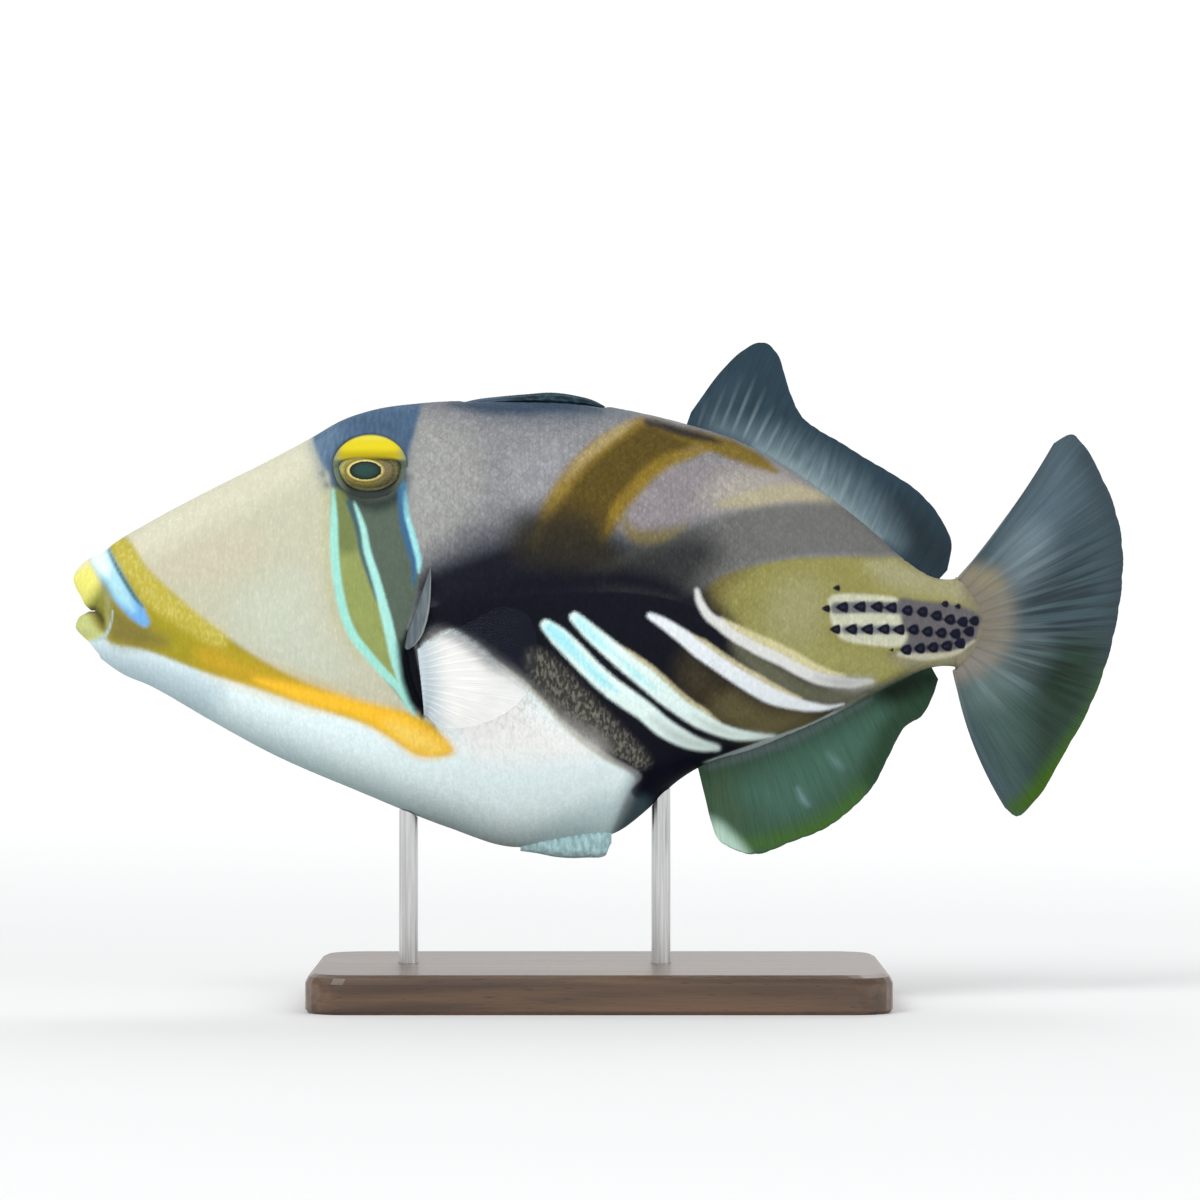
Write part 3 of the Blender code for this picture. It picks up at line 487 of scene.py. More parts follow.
    ("under_rear", 0.7, 0.3, 1, (0.112, 0.15, 0.115),
     [(-53.3, 109.8), (-47, 106.1), (-40.7, 109.4), (-40.1, 102.7), (-39.1, 98.2), (-37.4, 91.9),
      (-37.3, 88.6), (-38.4, 83.1), (-40.9, 73.7), (-40.9, 67.4), (-42.2, 70.9), (-43, 74.7),
      (-43.9, 79.6), (-44.9, 85), (-46.6, 89.8), (-48.5, 95.1), (-50.2, 101)]),
    ("saddle", 1.2, 0.4, 1, (0.088, 0.158, 0.258),
     [(-60.1, 118.4), (-59, 115.7), (-57.6, 112.5), (-55.8, 109.8), (-55.2, 107.9), (-52.3, 106.8),
      (-47.7, 106.5), (-42.6, 106.8), (-40.1, 108.9), (-39.9, 111.5), (-39.3, 115.7), (-38.2, 119.9),
      (-37.3, 124.5), (-36.9, 132.5), (-64.8, 132.5)]),
    ("saddle_pale", 5, 1.4, 0.8, (0.16, 0.25, 0.365),
     [(-60.2, 117.6), (-57, 120.6), (-53.4, 119.6), (-56.4, 113.6), (-56.6, 108), (-58.6, 112.6)]),
    ("saddle_dark", 6, 1.6, 0.6, (0.07, 0.118, 0.195),
     [(-52, 121.6), (-44, 122.6), (-39.6, 120), (-40.6, 113), (-42.4, 117.4), (-48, 119.6)]),
    ("eye_shadow", 3, 0.3, 0.85, (0.018, 0.027, 0.03),
     [(-54.4, 107.7), (-50.8, 105), (-46, 103.8), (-41.5, 105.9), (-39.7, 109.5)],
     (0.3, 0.7, 1.2, 1, 0.4)),
    # Painted shade in the socket round the eye
    ("socket", 1.4, 0.2, 1, (0.042, 0.05, 0.038),
     [(-55.4, 111.8), (-53.3, 106.9), (-48.05, 104.9), (-42.6, 106.9), (-40.6, 111.8), (-42.6, 116.6),
      (-48.05, 118.4), (-53.3, 116.6)]),
    ("belly", 1.2, 0.6, 1, (0.84, 0.985, 1),
     [(-37, 73.7), (-33.8, 76.2), (-30, 77.9), (-25, 74.7), (-20.8, 71.2), (-16, 67.4), (-12.2, 63.6),
      (-5.5, 56.2), (0.6, 51.6), (5.6, 48.8), (7.4, 47), (6.4, 44.4), (4.4, 39.6), (2.4, 34), (1, 25.4),
      (-20.8, 21.2), (-113.2, 50.6), (-113.2, 73.3), (-102.3, 75.8), (-94.3, 73.7), (-83.8, 69.9),
      (-73.3, 67), (-62.8, 64.7), (-54.4, 62.1), (-47, 59), (-41.8, 55.2), (-36.5, 52.3), (-33.4, 55.8),
      (-35.9, 63.2)]),
    ("belly_warm", 9, 0.8, 0.95, (1, 1, 0.985),
     [(-34, 75), (-27, 73.5), (-20, 68.5), (-10, 60), (0, 53), (-10, 51), (-24, 51), (-30, 56),
      (-32, 64)]),
    ("speckle_fringe", 0.9, 0.5, 0.5, (0.56, 0.56, 0.39),
     [(-22, 72), (-16, 67.5), (-12.2, 63.8), (-5.5, 56.6), (0.6, 52), (5.6, 49)],
     (0.2, 0.5, 0.5, 0.5, 0.5, 0.2)),
    ("belly_teal", 5, 0.5, 0.8, (0.15, 0.229, 0.258),
     [(7.2, 47.6), (6, 43.8), (4.2, 38.5), (2.6, 34)], (0.1, 0.7, 0.7, 0.4)),
    ("chin", 7, 0.6, 0.85, (0.56, 0.71, 0.78),
     [(-108, 76), (-94.3, 73), (-84, 69.6), (-78, 66), (-84, 59), (-98, 62), (-108, 70)]),
    # Painted shade along the belly's lower edge, where it turns away from the light
    ("belly_edge", 13, 0.8, 0.95, (0.23, 0.33, 0.34),
     [(-104, 70.4), (-94.3, 65.4), (-81.7, 58.2), (-69.1, 51.3), (-50.2, 43), (-31.3, 35.4),
      (-18.7, 32), (-4, 33.6)], (0.5, 1.8, 3.4, 4.4, 4.4, 4.2, 3.4, 2.2)),
    ("pelvic_tint", 7, 0.8, 0.5, (0.42, 0.62, 0.65),
     [(-12, 37), (-5, 41), (2, 43.3), (5, 41.2), (2.3, 27.5), (-16.6, 27.5), (-16, 33)]),
    ("anal_base", 0.8, 0.3, 1, (0.06, 0.115, 0.105),
     [(21.8, 49.4), (30.2, 52.1), (39.7, 55.4), (48.3, 59.4), (55.7, 63.7), (66, 68.4), (68, 62),
      (48, 50), (30, 43), (22, 44)]),
    # A painted highlight along the belly's edge, over the anal fin's fold
    ("anal_base_edge", 0.5, 0.4, 0.85, (0.54, 0.61, 0.63),
     [(21.8, 50.1), (26.5, 51.7), (30.2, 52.9), (35.9, 54.9), (39.7, 56.3), (43.5, 57.8), (48.3, 60.2),
      (55.7, 64.5)], (0.2, 0.45, 0.65, 0.75, 0.65, 0.4, 0.3, 0.15)),
    # Painted shade along the tail stalk's lower edge
    ("stalk_edge", 2.5, 0.4, 0.85, (0.11, 0.12, 0.065),
     [(50, 61.5), (58, 65), (66, 68.4), (76, 69.7)], (0.4, 1.2, 1.2, 0.6)),
    ("black_patch", 3, 0.6, 1, (0.003, 0.004, 0.012),
     [(9.6, 49.2), (13, 50.2), (19.5, 51), (22.4, 48.5), (14.7, 37), (8, 31), (4.2, 33), (6.2, 38.6),
      (8, 44)]),
    ("patch_teal", 4, 0.6, 0.95, (0.055, 0.1, 0.118),
     [(3, 33), (5.4, 39.5), (8.4, 43), (11, 41), (9, 35), (5, 30)]),
    ("mustard", 1.4, 0.6, 1, (0.435, 0.365, 0.028),
     [(-103, 98.5), (-98.4, 96.6), (-94.8, 91.4), (-90.1, 86.8), (-83.8, 81.4), (-75.4, 75.1),
      (-67, 69.9), (-56.5, 65.1), (-46, 62.1), (-39.7, 60.7), (-35.1, 58.6), (-32.1, 55.2),
      (-30.7, 52.7), (-33.4, 51.8), (-37.6, 52.3), (-41.8, 54.6), (-47, 57.8), (-54.4, 60.4),
      (-62.8, 63), (-73.3, 66.4), (-83.8, 69.7), (-94.3, 73.7), (-102.3, 75.4), (-102.1, 80),
      (-102.3, 84.2), (-105, 91.4)]),
    ("mustard_warm", 7, 0.6, 0.9, (0.72, 0.44, 0.032),
     [(-82, 74), (-72, 70.6), (-60, 66.4), (-52, 63), (-60, 62.6), (-72, 66.2), (-82, 70.4)]),
    ("orange", 3.2, 0.4, 1, (1, 0.57, 0.038),
     [(-71, 67.9), (-64.9, 67), (-58, 65.4), (-50, 63.4), (-43.9, 62), (-39.5, 60.6), (-35.5, 58.5),
      (-31.1, 54.8), (-30.7, 52.2), (-37.6, 51.7), (-42.8, 55.2), (-50.2, 59.3), (-60.7, 62.6),
      (-66, 64.8), (-71, 66.9)]),
    ("orange_tip", 4, 0.4, 0.8, (1, 0.72, 0.16),
     [(-44, 59), (-37.6, 57.2), (-32.6, 54), (-34, 52.4), (-40, 54.4)]),
    ("olive_corner", 5, 0.5, 0.85, (0.225, 0.19, 0.055),
     [(-101.9, 82.6), (-95.3, 79.4), (-90, 75.5), (-94.3, 74.2), (-102, 75.6)]),
    ("mustard_glow", 3.4, 0.6, 0.45, (0.72, 0.61, 0.08),
     [(-102, 98), (-98, 95.8), (-94.5, 90.9), (-90, 86.7), (-84, 81.6), (-78, 77.2), (-79, 74.6),
      (-87, 78.6), (-94, 83.4), (-98, 88.4), (-101.4, 93.4)]),
    ("band_blue", 1.5, 0.2, 1, (0.19, 0.49, 0.91),
     [(-105, 94.6), (-104, 92.7), (-101.7, 89), (-99.4, 85.2), (-96.6, 81.8), (-94.8, 79.6)],
     (2.1, 2.2, 2.2, 2.1, 1.8, 1)),
    ("band_cyan", 2.4, 0.2, 1, (0.5, 0.86, 0.95),
     [(-105.2, 94.6), (-104.2, 92.7), (-101.9, 89), (-100, 86), (-98.2, 83.4), (-97, 82)],
     (1.9, 2, 1.8, 1.6, 0.9, 0.2)),
    ("band_white", 2.4, 0.2, 0.9, (0.86, 0.94, 0.95),
     [(-106.2, 95.6), (-105, 93.4), (-103.7, 91.2), (-102.7, 89.4)], (2, 1.9, 1.4, 0.4)),
    ("band_line", 0.9, 0.2, 0.9, (0.06, 0.13, 0.075),
     [(-102.7, 94.6), (-100.5, 90.6), (-98.2, 86.8), (-96.6, 84.4), (-95.2, 82.8)],
     (0.2, 0.42, 0.45, 0.35, 0.1)),
    ("lips", 1.8, 0.2, 1, (0.83, 0.8, 0.2),
     [(-113.2, 98.8), (-108.8, 96.4), (-107, 92.6), (-104.9, 89), (-103.4, 85.4), (-102.6, 82.4),
      (-103.2, 78.2), (-105.6, 76.2), (-113.2, 75.4)]),
    # A painted highlight on the upper lip's top front
    ("lip_pale", 2.8, 0.2, 0.9, (0.86, 0.85, 0.76),
     [(-106.6, 94.6), (-108.6, 92.4), (-110.6, 90.4)], (1.1, 1.2, 0.5)),
    ("lip_olive", 4, 0.2, 0.9, (0.17, 0.18, 0.03),
     [(-107.8, 82.4), (-105.8, 85), (-103.6, 87.4), (-102.2, 84.4), (-102.4, 80.6), (-107.4, 80.6)]),
    ("lip_low", 1.6, 0.2, 0.95, (0.53, 0.58, 0.23),
     [(-113.2, 82), (-104.6, 81.7), (-103.4, 78.4), (-105.4, 76.4), (-113.2, 75.6)]),
    ("lip_brown", 2, 0.2, 0.8, (0.26, 0.205, 0.02),
     [(-106.4, 81.2), (-103.8, 81.6), (-102.9, 79), (-103.6, 77.4), (-105.4, 78.8)]),
    ("lip_line", 0.5, 0.1, 0.95, (0.52, 0.7, 0.67),
     [(-101.6, 82), (-101.9, 79.7), (-102.9, 77.2), (-104.5, 76), (-106.1, 75.6)],
     (0.15, 0.25, 0.35, 0.35, 0.2)),
    # Painted shade in the mouth's opening between the lips
    ("mouth", 1.9, 0.2, 0.95, (0.045, 0.04, 0.01),
     [(-108.4, 82), (-105.4, 81.9), (-103.9, 80.2), (-103.4, 78.2)], (0.2, 0.7, 0.7, 0.1)),
    ("stripe_a", 0.9, 0.45, 1, (0.82, 0.99, 0.95),
     [(-10.9, 79), (-8.4, 76.7), (-5.7, 74.1), (-1.9, 70.1), (1.9, 66.6), (5.7, 63.8), (9.4, 61.2),
      (13.2, 57.9), (17, 55.6), (20.8, 54), (24.6, 53.5)],
     (1.2, 1.9, 2.05, 2.05, 2.1, 2.1, 2, 2, 1.8, 1.3, 0.6)),
    ("fringe_b", 0.9, 0.4, 0.85, (0.76, 0.69, 0.42),
     [(2.6, 75.2), (6.3, 71.9), (10, 69), (13.8, 65.7), (17.6, 62.6), (21.4, 60.2), (25.2, 58)],
     (0.6, 1.7, 1.95, 1.9, 1.7, 1.6, 0.6)),
    ("stripe_b", 0.9, 0.45, 1, (0.82, 0.99, 0.95),
     [(-5, 80.6), (-1.9, 77.7), (1.9, 74.4), (5.7, 71.1), (9.4, 68.2), (13.2, 64.9), (17, 61.8),
      (20.8, 59.4), (24.6, 57.4), (28.3, 56.3), (32.5, 55.9), (36.5, 56)],
     (1.1, 1.6, 1.85, 1.95, 2.1, 2, 1.7, 1.8, 1.4, 1.15, 0.7, 0.3)),
    ("grey_a", 3, 0.5, 0.8, (0.48, 0.57, 0.54),
     [(11, 59.6), (15, 56.6), (19, 54.6), (24.6, 53.5)], (0.1, 0.7, 0.7, 0.1)),
    ("grey_b", 2.4, 0.5, 0.7, (0.56, 0.64, 0.6),
     [(20, 59.8), (24.6, 57.4), (29, 56.2), (36.5, 56)], (0.1, 0.6, 0.5, 0.1)),
    ("cyan_a", 1.8, 0.7, 0.95, (0.4, 0.88, 0.95),
     [(-10.3, 78.4), (-7.4, 75.8), (-3.4, 71.6), (0.6, 67.6), (4, 65)], (1, 1.3, 0.7, 0.9, 0.1)),
    ("cyan_b", 1.8, 0.7, 0.85, (0.44, 0.89, 0.95),
     [(-4.4, 80.1), (-0.6, 76.2), (3.6, 72.6), (8, 68.6), (12, 65.4)], (0.8, 0.9, 0.2, 0.7, 0.1)),
    ("fringe_c", 0.9, 0.4, 0.85, (0.76, 0.69, 0.42),
     [(17.7, 77.5), (21.4, 74.6), (25.2, 71.9), (28.9, 69.5), (32.7, 67.3), (36.5, 65.2), (42, 63.4)],
     (0.4, 1.5, 1.5, 1.5, 1.6, 1.5, 0.5)),
    ("stripe_c", 0.9, 0.4, 1, (0.8, 0.855, 0.89),
     [(10.6, 80.9), (13.2, 79.5), (17, 76.9), (20.8, 73.8), (24.6, 71.1), (28.3, 68.6), (32.1, 66.3),
      (35.9, 64.2), (39.7, 62.9), (43.5, 62.1), (47.5, 61.9), (51, 62.6)],
     (0.7, 1.1, 1.45, 1.6, 1.55, 1.6, 1.75, 1.7, 1.4, 1, 0.5, 0.2)),
    ("fringe_d", 1, 0.4, 0.9, (0.78, 0.72, 0.42),
     [(25.2, 80.3), (29, 77.6), (34.6, 74.8), (38.4, 73.1), (42.2, 71), (46, 69.1), (51, 68.2)],
     (0.4, 1.3, 1.5, 1.5, 1.5, 1.4, 0.5)),
    ("stripe_d", 0.9, 0.4, 1, (0.72, 0.735, 0.71),
     [(20.3, 86.2), (20.9, 83.8), (22.7, 80.9), (24.6, 79.5), (28.3, 76.6), (34, 73.5), (37.8, 71.8),
      (41.6, 69.7), (45.4, 68), (49.1, 67.2), (52.9, 66.9), (57, 67.3)],
     (0.5, 0.8, 0.95, 1.1, 1.15, 1.2, 1.2, 1.2, 1.25, 1.2, 1, 0.4)),
    ("stripe_d_end", 3, 0.4, 0.8, (0.42, 0.43, 0.42),
     [(45, 68.1), (49, 67.2), (53, 66.9), (57, 67.3)], (0.1, 1, 1.2, 0.6)),
    ("line_blue_3", 0.9, 0.2, 0.9, (0.05, 0.16, 0.33),
     [(-41, 109.9), (-41, 104.3), (-40.3, 99.3), (-38.9, 94.3), (-38.2, 91.7), (-38.3, 87.4)],
     (0.5, 0.7, 0.8, 0.8, 0.6, 0.3)),
    ("line_blue_2", 0.9, 0.2, 0.8, (0.03, 0.1, 0.17),
     [(-52, 104.6), (-50, 99.3), (-49, 94.3), (-47.3, 89.2), (-45.8, 84.2)], (0.5, 0.7, 0.8, 0.8, 0.5)),
    ("line_1", 0.8, 0.3, 1, (0.4, 0.85, 0.73),
     [(-55.2, 107), (-55, 100.6), (-54.9, 94.8), (-54.3, 88.6), (-53, 82), (-51.6, 78.2), (-50.3, 75.9),
      (-47.6, 72.6), (-44.9, 69.5), (-42.5, 67.1), (-40.8, 65), (-39.7, 61.9)],
     (0.3, 0.75, 0.88, 0.88, 0.92, 0.92, 0.92, 0.9, 0.9, 0.85, 0.8, 0.4)),
    ("line_2", 0.8, 0.3, 1, (0.46, 0.89, 0.8),
     [(-50.7, 104.3), (-49.8, 101.8), (-48.8, 98.6), (-48, 94.3), (-46.4, 89.2), (-45, 84.2),
      (-43.8, 79.6), (-42.9, 75.6), (-42.1, 71.6), (-40.7, 67.2), (-39.4, 63.6), (-38.3, 60.5)],
     (0.2, 0.45, 0.62, 0.72, 0.82, 0.92, 1.05, 1.05, 1, 0.85, 0.7, 0.3)),
    ("line_3", 0.8, 0.3, 1, (0.38, 0.85, 0.88),
     [(-40.2, 106.6), (-40.1, 104.3), (-39.7, 101.3), (-38.9, 98.6), (-38, 95.3), (-37.3, 92.4),
      (-37.3, 90)], (0.1, 0.42, 0.5, 0.56, 0.6, 0.6, 0.3)),
    ("line_3_top", 1.4, 0.3, 0.6, (0.11, 0.33, 0.5),
     [(-40.3, 108), (-40.2, 104.6), (-39.8, 101.4)], (0.6, 0.6, 0.2)),
    # Painted shade in the gill opening, whose inside is not built
    ("gill_dark", 1.2, 0.2, 1, (0.005, 0.006, 0.011),
     [(-39.4, 77.4), (-39.5, 73), (-38.8, 68.4), (-37.7, 63.8), (-36.6, 60)],
     (0.8, 1.9, 2.2, 1.8, 0.4)),
    ("row_white", 1, 0.3, 0.95, (0.665, 0.68, 0.52),
     [(48.8, 85.2), (58.2, 85.2), (63.2, 84), (63.6, 79.5), (65.4, 75.1), (61.5, 74.4), (54.8, 75),
      (50.8, 76), (49.1, 78.1), (48.1, 81.5)]),
    ("row_violet_1", 0.9, 0.3, 0.85, (0.11, 0.11, 0.145),
     [(49.5, 82.5), (56, 82.7), (62.5, 82.5)], (1.25, 1.25, 1.25)),
    ("row_violet_2", 0.9, 0.3, 0.85, (0.18, 0.185, 0.215),
     [(51.5, 78), (57, 78), (63, 78)], (0.9, 0.9, 0.9)),
    ("row_grey", 1.4, 0.3, 0.95, (0.13, 0.124, 0.14),
     [(62.6, 84.4), (68.3, 84), (75, 83.2), (80.2, 81), (80, 78.8), (78.4, 74.9), (75, 73.4),
      (63.2, 72.6), (64.6, 76.4), (63.4, 79.5)]),
    ("row_white_low", 1, 0.3, 0.9, (0.64, 0.62, 0.48),
     [(62.9, 72.9), (68.3, 72.3), (74.5, 73), (78.8, 75.6)], (0.5, 0.8, 0.5, 0.2)),
]
# The dark spots in rows along the tail stalk, each but the rearmost with a spine on it, and how large
# each is
STALK_SPINES = [(47.4, 82.4), (50.9, 82.7), (54.6, 82.8), (58.2, 82.8), (61.2, 82.6), (64.6, 82),
                (67.8, 81.7), (70.8, 80.9), (73.6, 80.1), (76.3, 79.6), (78.8, 79.8), (49.4, 78.1),
                (52.8, 78.1), (56.2, 78.1), (59.7, 78.1), (62.9, 78), (65.9, 78), (68.9, 77.6),
                (71.8, 77.3), (74.8, 77.1), (77.7, 77.6), (64.4, 73.8), (67.3, 74.1), (70.1, 74.3),
                (73, 74.6), (75.8, 75.1), (49.6, 86.7), (72.6, 83.3), (75.3, 82.8), (61.2, 73.8)]
SPOT_SIZES = ([0.75] + [1.08] * 4 + [1.02] * 5 + [0.95] * 2 + [1.08] * 4 + [1.02] * 10
              + [0.62, 0.66, 0.52, 0.36])
# The outline of the speckled edge between belly and side
SPECKLED = [(-15.8, 72.6), (-10.7, 73.7), (0.2, 62.8), (6.5, 56.4), (11, 50.8), (7.8, 48.8),
            (1.3, 52.5), (-5.5, 57.7), (-12.2, 64.7)]


def store(mesh, name, values):
    """Keeps one number, or three, for each point of a mesh."""
    values = np.asarray(values, np.float32)
    kind = "FLOAT" if values.ndim == 1 else "FLOAT_VECTOR"
    layer = mesh.attributes.new(name, kind, "POINT")
    layer.data.foreach_set("value" if kind == "FLOAT" else "vector", values.ravel())


def store_marks(mesh, marks, x, z):
    """Stores each point's distance to the edge of each marking, three to an attribute."""
    gaps = []
    for points, *half in (row[5:] for row in marks):
        closed = not half
        curve = curve_through(points, closed)
        widths = None
        if half:
            at = np.linspace(0, len(half[0]) - 1, len(curve))
            widths = np.interp(at, np.arange(len(half[0])), half[0])
        gaps.append(distance_to(curve, x, z, closed, widths))
    gaps += gaps[-1:] * (-len(gaps) % 3)
    for k in range(0, len(gaps), 3):
        store(mesh, "marks_%d" % (k // 3), np.stack(gaps[k:k + 3], -1))


def store_skin_marks(mesh, x, z):
    """Stores what the skin's paint needs: the markings, the speckled edge and the stalk's spots."""
    store_marks(mesh, MARKS, x, z)
    store(mesh, "mark_speckle", distance_to(curve_through(SPECKLED, True), x, z, True))
    spots = np.full(x.shape, FAR)
    for (sx, sz), size in zip(STALK_SPINES, SPOT_SIZES):
        dx, dz = (x - sx) / size, np.abs(z - sz) / size
        arrow = np.maximum(dx - 1.0, 0.92 * dz - 0.39 * (dx + 2.0))  # points forward, wide behind
        oval = np.hypot(dx * 1.06, dz * 0.94) - 1.22
        share = 0.75 if sx < 64 else 0.45
        spots = np.minimum(spots, size * (share * arrow + (1 - share) * oval))
    store(mesh, "mark_spots", spots)


def paint_marks(n, marks, colour, wander):
    """Lays the markings one over the other on a colour, with soft edges that wander."""
    roughs = sorted({row[2] for row in marks})
    drifts = {rough: n.math("MULTIPLY", wander, 4.0 * rough) for rough in roughs}
    for mark, soft, rough, strength, paint in (row[:5] for row in marks):
        edge = n.math("ADD", n.mark(marks, mark), drifts[rough])
        colour = n.blend(n.ramp(edge, soft / 2, -soft / 2, 0.0, strength), colour, paint)
    return colour


BARE_SKIN = (0.280, 0.285, 0.300), (0.310, 0.312, 0.325)
SPECKLE_PAINT, GOLD_PAINT, SPOT_PAINT = (0.235, 0.228, 0.185), (0.92, 0.84, 0.34), (0.008, 0.009, 0.024)
SKIN_BUMP = 0.00013  # metres


def painted_skin(name):
    """Skin: the markings over small lozenge plates, each with its own tone, rough with fine grains."""
    n = Paint(name, (0.5, 0.5, 0.5), 0.55, Specular_IOR_Level=0.06)
    wander = n.swing(n.noise(1000.0, 2.0))
    colour = n.blend(n.ramp(n.noise(90.0, 1.0), 0.35, 0.65), *BARE_SKIN)
    colour = paint_marks(n, MARKS, colour, wander)

    # Each plate's cell: its number gives its tone and the way to its rim gives the groove
    lattice = n.attribute("plates", "Vector")
    tone = n.add("ShaderNodeTexWhiteNoise", {0: n.vector("FLOOR", lattice)})
    from_middle = n.vector("ABSOLUTE", n.vector("SUBTRACT", n.vector("FRACTION", lattice), (0.5,) * 3))
    parts = n.add("ShaderNodeSeparateXYZ", {0: from_middle}).node.outputs
    groove = n.product(n.ramp(n.math("MAXIMUM", parts[0], parts[1]), 0.34, 0.49), n.attribute("scaly"))

    # Grains of the skin, finer and finer, and the flecks they make of the speckled edge and the gold
    bumps = n.add("ShaderNodeTexVoronoi", {"Vector": n.place((1350.0, 1350.0, 760.0)), "Scale": 1.0})
    fine = n.grain(2600.0, 2600.0, 1100.0, 2.0)
    lines = n.grain(1500.0, 400.0, 330.0, 1.0)
    flecks = n.ramp(n.grain(1600.0, 1600.0, 800.0, 2.0), 0.42, 0.66, 0.22, 0.92)
    speckled = n.product(n.ramp(n.attribute("mark_speckle"), 1.0, -2.0), flecks)
    colour = n.blend(speckled, colour, SPECKLE_PAINT)
    gold = n.product(n.ramp(n.mark(MARKS, "mustard_glow"), 1.2, -0.8, 0.0, 0.34), flecks)
    colour = n.blend(gold, colour, GOLD_PAINT)
    spots = n.math("ADD", n.attribute("mark_spots"), n.math("MULTIPLY", wander, 0.5))
    colour = n.blend(n.ramp(spots, 0.2, -0.2), colour, SPOT_PAINT)

    # How light the grains and plates make it: less in the bright markings, more in the saddle
    shade = n.product(n.ramp(fine, 0.2, 0.8, 0.90, 1.10), n.ramp(lines, 0.25, 0.75, 0.92, 1.08),
                      n.ramp(bumps, 0.1, 0.6, 1.08, 0.92), n.ramp(tone, 0.0, 1.0, 0.95, 1.05),
                      n.ramp(groove, 0.0, 1.0, 1.0, 0.93))
    striped, bright = 0.0, n.ramp(n.mark(MARKS, "belly"), 1.0, -1.0)
    for mark in ("stripe_a", "stripe_b", "stripe_c", "stripe_d"):
        striped = n.math("MAXIMUM", n.ramp(n.mark(MARKS, mark), 0.4, -0.6), striped)
    for mark in ("orange", "lips", "band_white"):
        bright = n.math("MAXIMUM", n.ramp(n.mark(MARKS, mark), 1.0, -1.0), bright)
    grainy = n.product(n.attribute("grainy"), n.ramp(striped, 0.0, 1.0, 1.0, 0.45))
    shade = n.math("ADD", n.product(n.math("SUBTRACT", shade, 1.0), grainy), 1.0)
    mottle = n.math("SUBTRACT", n.ramp(lines, 0.3, 0.7, 0.90, 1.10), 1.0)
    mottle = n.product(mottle, n.ramp(n.mark(MARKS, "saddle"), 0.5, -0.8))
    shade = n.product(shade, n.math("ADD", mottle, 1.0),
                      n.ramp(n.math("MAXIMUM", striped, bright), 0.0, 1.0, 0.89, 1.0))

    height = n.math("MULTIPLY", groove, -0.25)
    for value, share in ((bumps, -0.4), (fine, 0.35), (lines, 0.25)):
        height = n.math("ADD", height, n.math("MULTIPLY", value, share))
    n.surface(n.shaded(colour, shade), n.product(height, n.attribute("grainy")), SKIN_BUMP)
    return n.material


EYE_MOUND, MOUND_RISE, SOCKET_DEPTH = (8.3, 7.2), 0.7, 3.2  # half its length and height, in mm
SLIT_DEPTH, SLIT_LIP, NOSTRIL_DEPTH, NOSTRIL_LIP, THORN_MOUND = 1.9, 0.15, 0.9, 0.22, 0.3
GROOVE_START, GROOVE_END, GROOVE_DEPTH = -29.5, 2.5, 1.1  # the folded fin's, along the back
BACK_WELT, BELLY_WELT = 0.35, 0.45  # along the roots of the second dorsal and anal fins


def relief(points, x, z, across):
    """How far the skin stands out from its plain form at each point, in mm, and the plates' lattice."""
    rows = np.stack([x / PLATE_LENGTH + across / PLATE_HEIGHT, x / PLATE_LENGTH - across / PLATE_HEIGHT,
                     0 * x], -1)
    waver = 0.09 * np.sin(x * 1.9 + 2.0 * np.sin(z * 0.7)) + 0.07 * np.sin(z * 2.3 + x * 0.6)
    rows = rows + waver[..., None] * np.array([1.0, -0.6, 0.0])
    part = np.abs(rows[..., :2] % 1 - 0.5)
    from_eye = np.hypot((x - EYE_X) / EYE_MOUND[0], (z - EYE_LEVEL) / EYE_MOUND[1])
    scaly = step_between(x, -100, -86) * (1 - step_between(x, 70, 79))
    scaly = scaly * step_between(from_eye, 1.0, 1.3)
    scaly = scaly * (0.3 + 0.7 * step_between(x, -46, -34) * step_between(z, 48, 64))
    rise = PLATE_RISE * scaly * (step_between(part.max(-1), 0.5, 0.3) - 0.35 * (part ** 2).sum(-1) * 4)
    rise = rise + MOUND_RISE * (1 - step_between(from_eye, 0.75, 1.6))
    rise = rise - SOCKET_DEPTH * (1 - step_between(from_eye, 0.66, 0.93))
    slit = distance_to(curve_through(GILL_SLIT), x, z)
    rise = rise - SLIT_DEPTH * (1 - step_between(slit, 0.3, 1.5))
    rise = rise + SLIT_LIP * np.exp(-((slit - 2.4) / 1.2) ** 2) * (x > -39.0)
    for nx, nz in NOSTRILS:
        gap = np.hypot(x - nx, z - nz)
        rise = rise - NOSTRIL_DEPTH * (1 - step_between(gap, 0.15, 0.9))
        rise = rise + NOSTRIL_LIP * np.exp(-((gap - 1.2) / 0.4) ** 2)
    on_back = (z > back(x) - 3) & (x > GROOVE_START) & (x < GROOVE_END)
    groove = GROOVE_DEPTH * on_back * (1 - step_between(np.abs(points[..., 1]), 0.8, 2.4))
    groove = groove * step_between(x, GROOVE_START, GROOVE_START + 3.5)
    rise = rise - groove * (1 - step_between(x, GROOVE_END - 3.5, GROOVE_END))
    thorn = np.full(x.shape, FAR)
    for sx, sz in STALK_SPINES:
        thorn = np.minimum(thorn, np.hypot(x - sx, z - sz))
    rise = rise + THORN_MOUND * (1 - step_between(thorn, 0.4, 1.4))
    welt = BACK_WELT * np.exp(-((back(x) - z - 2.2) / 1.6) ** 2)
    rise = rise + welt * step_between(x, 17, 24) * (1 - step_between(x, 62, 70))
    welt = BELLY_WELT * np.exp(-((z - belly(x) - 2.4) / 1.8) ** 2)
    rise = rise + welt * step_between(x, 19, 26) * (1 - step_between(x, 60, 68))
    return rise, rows, scaly


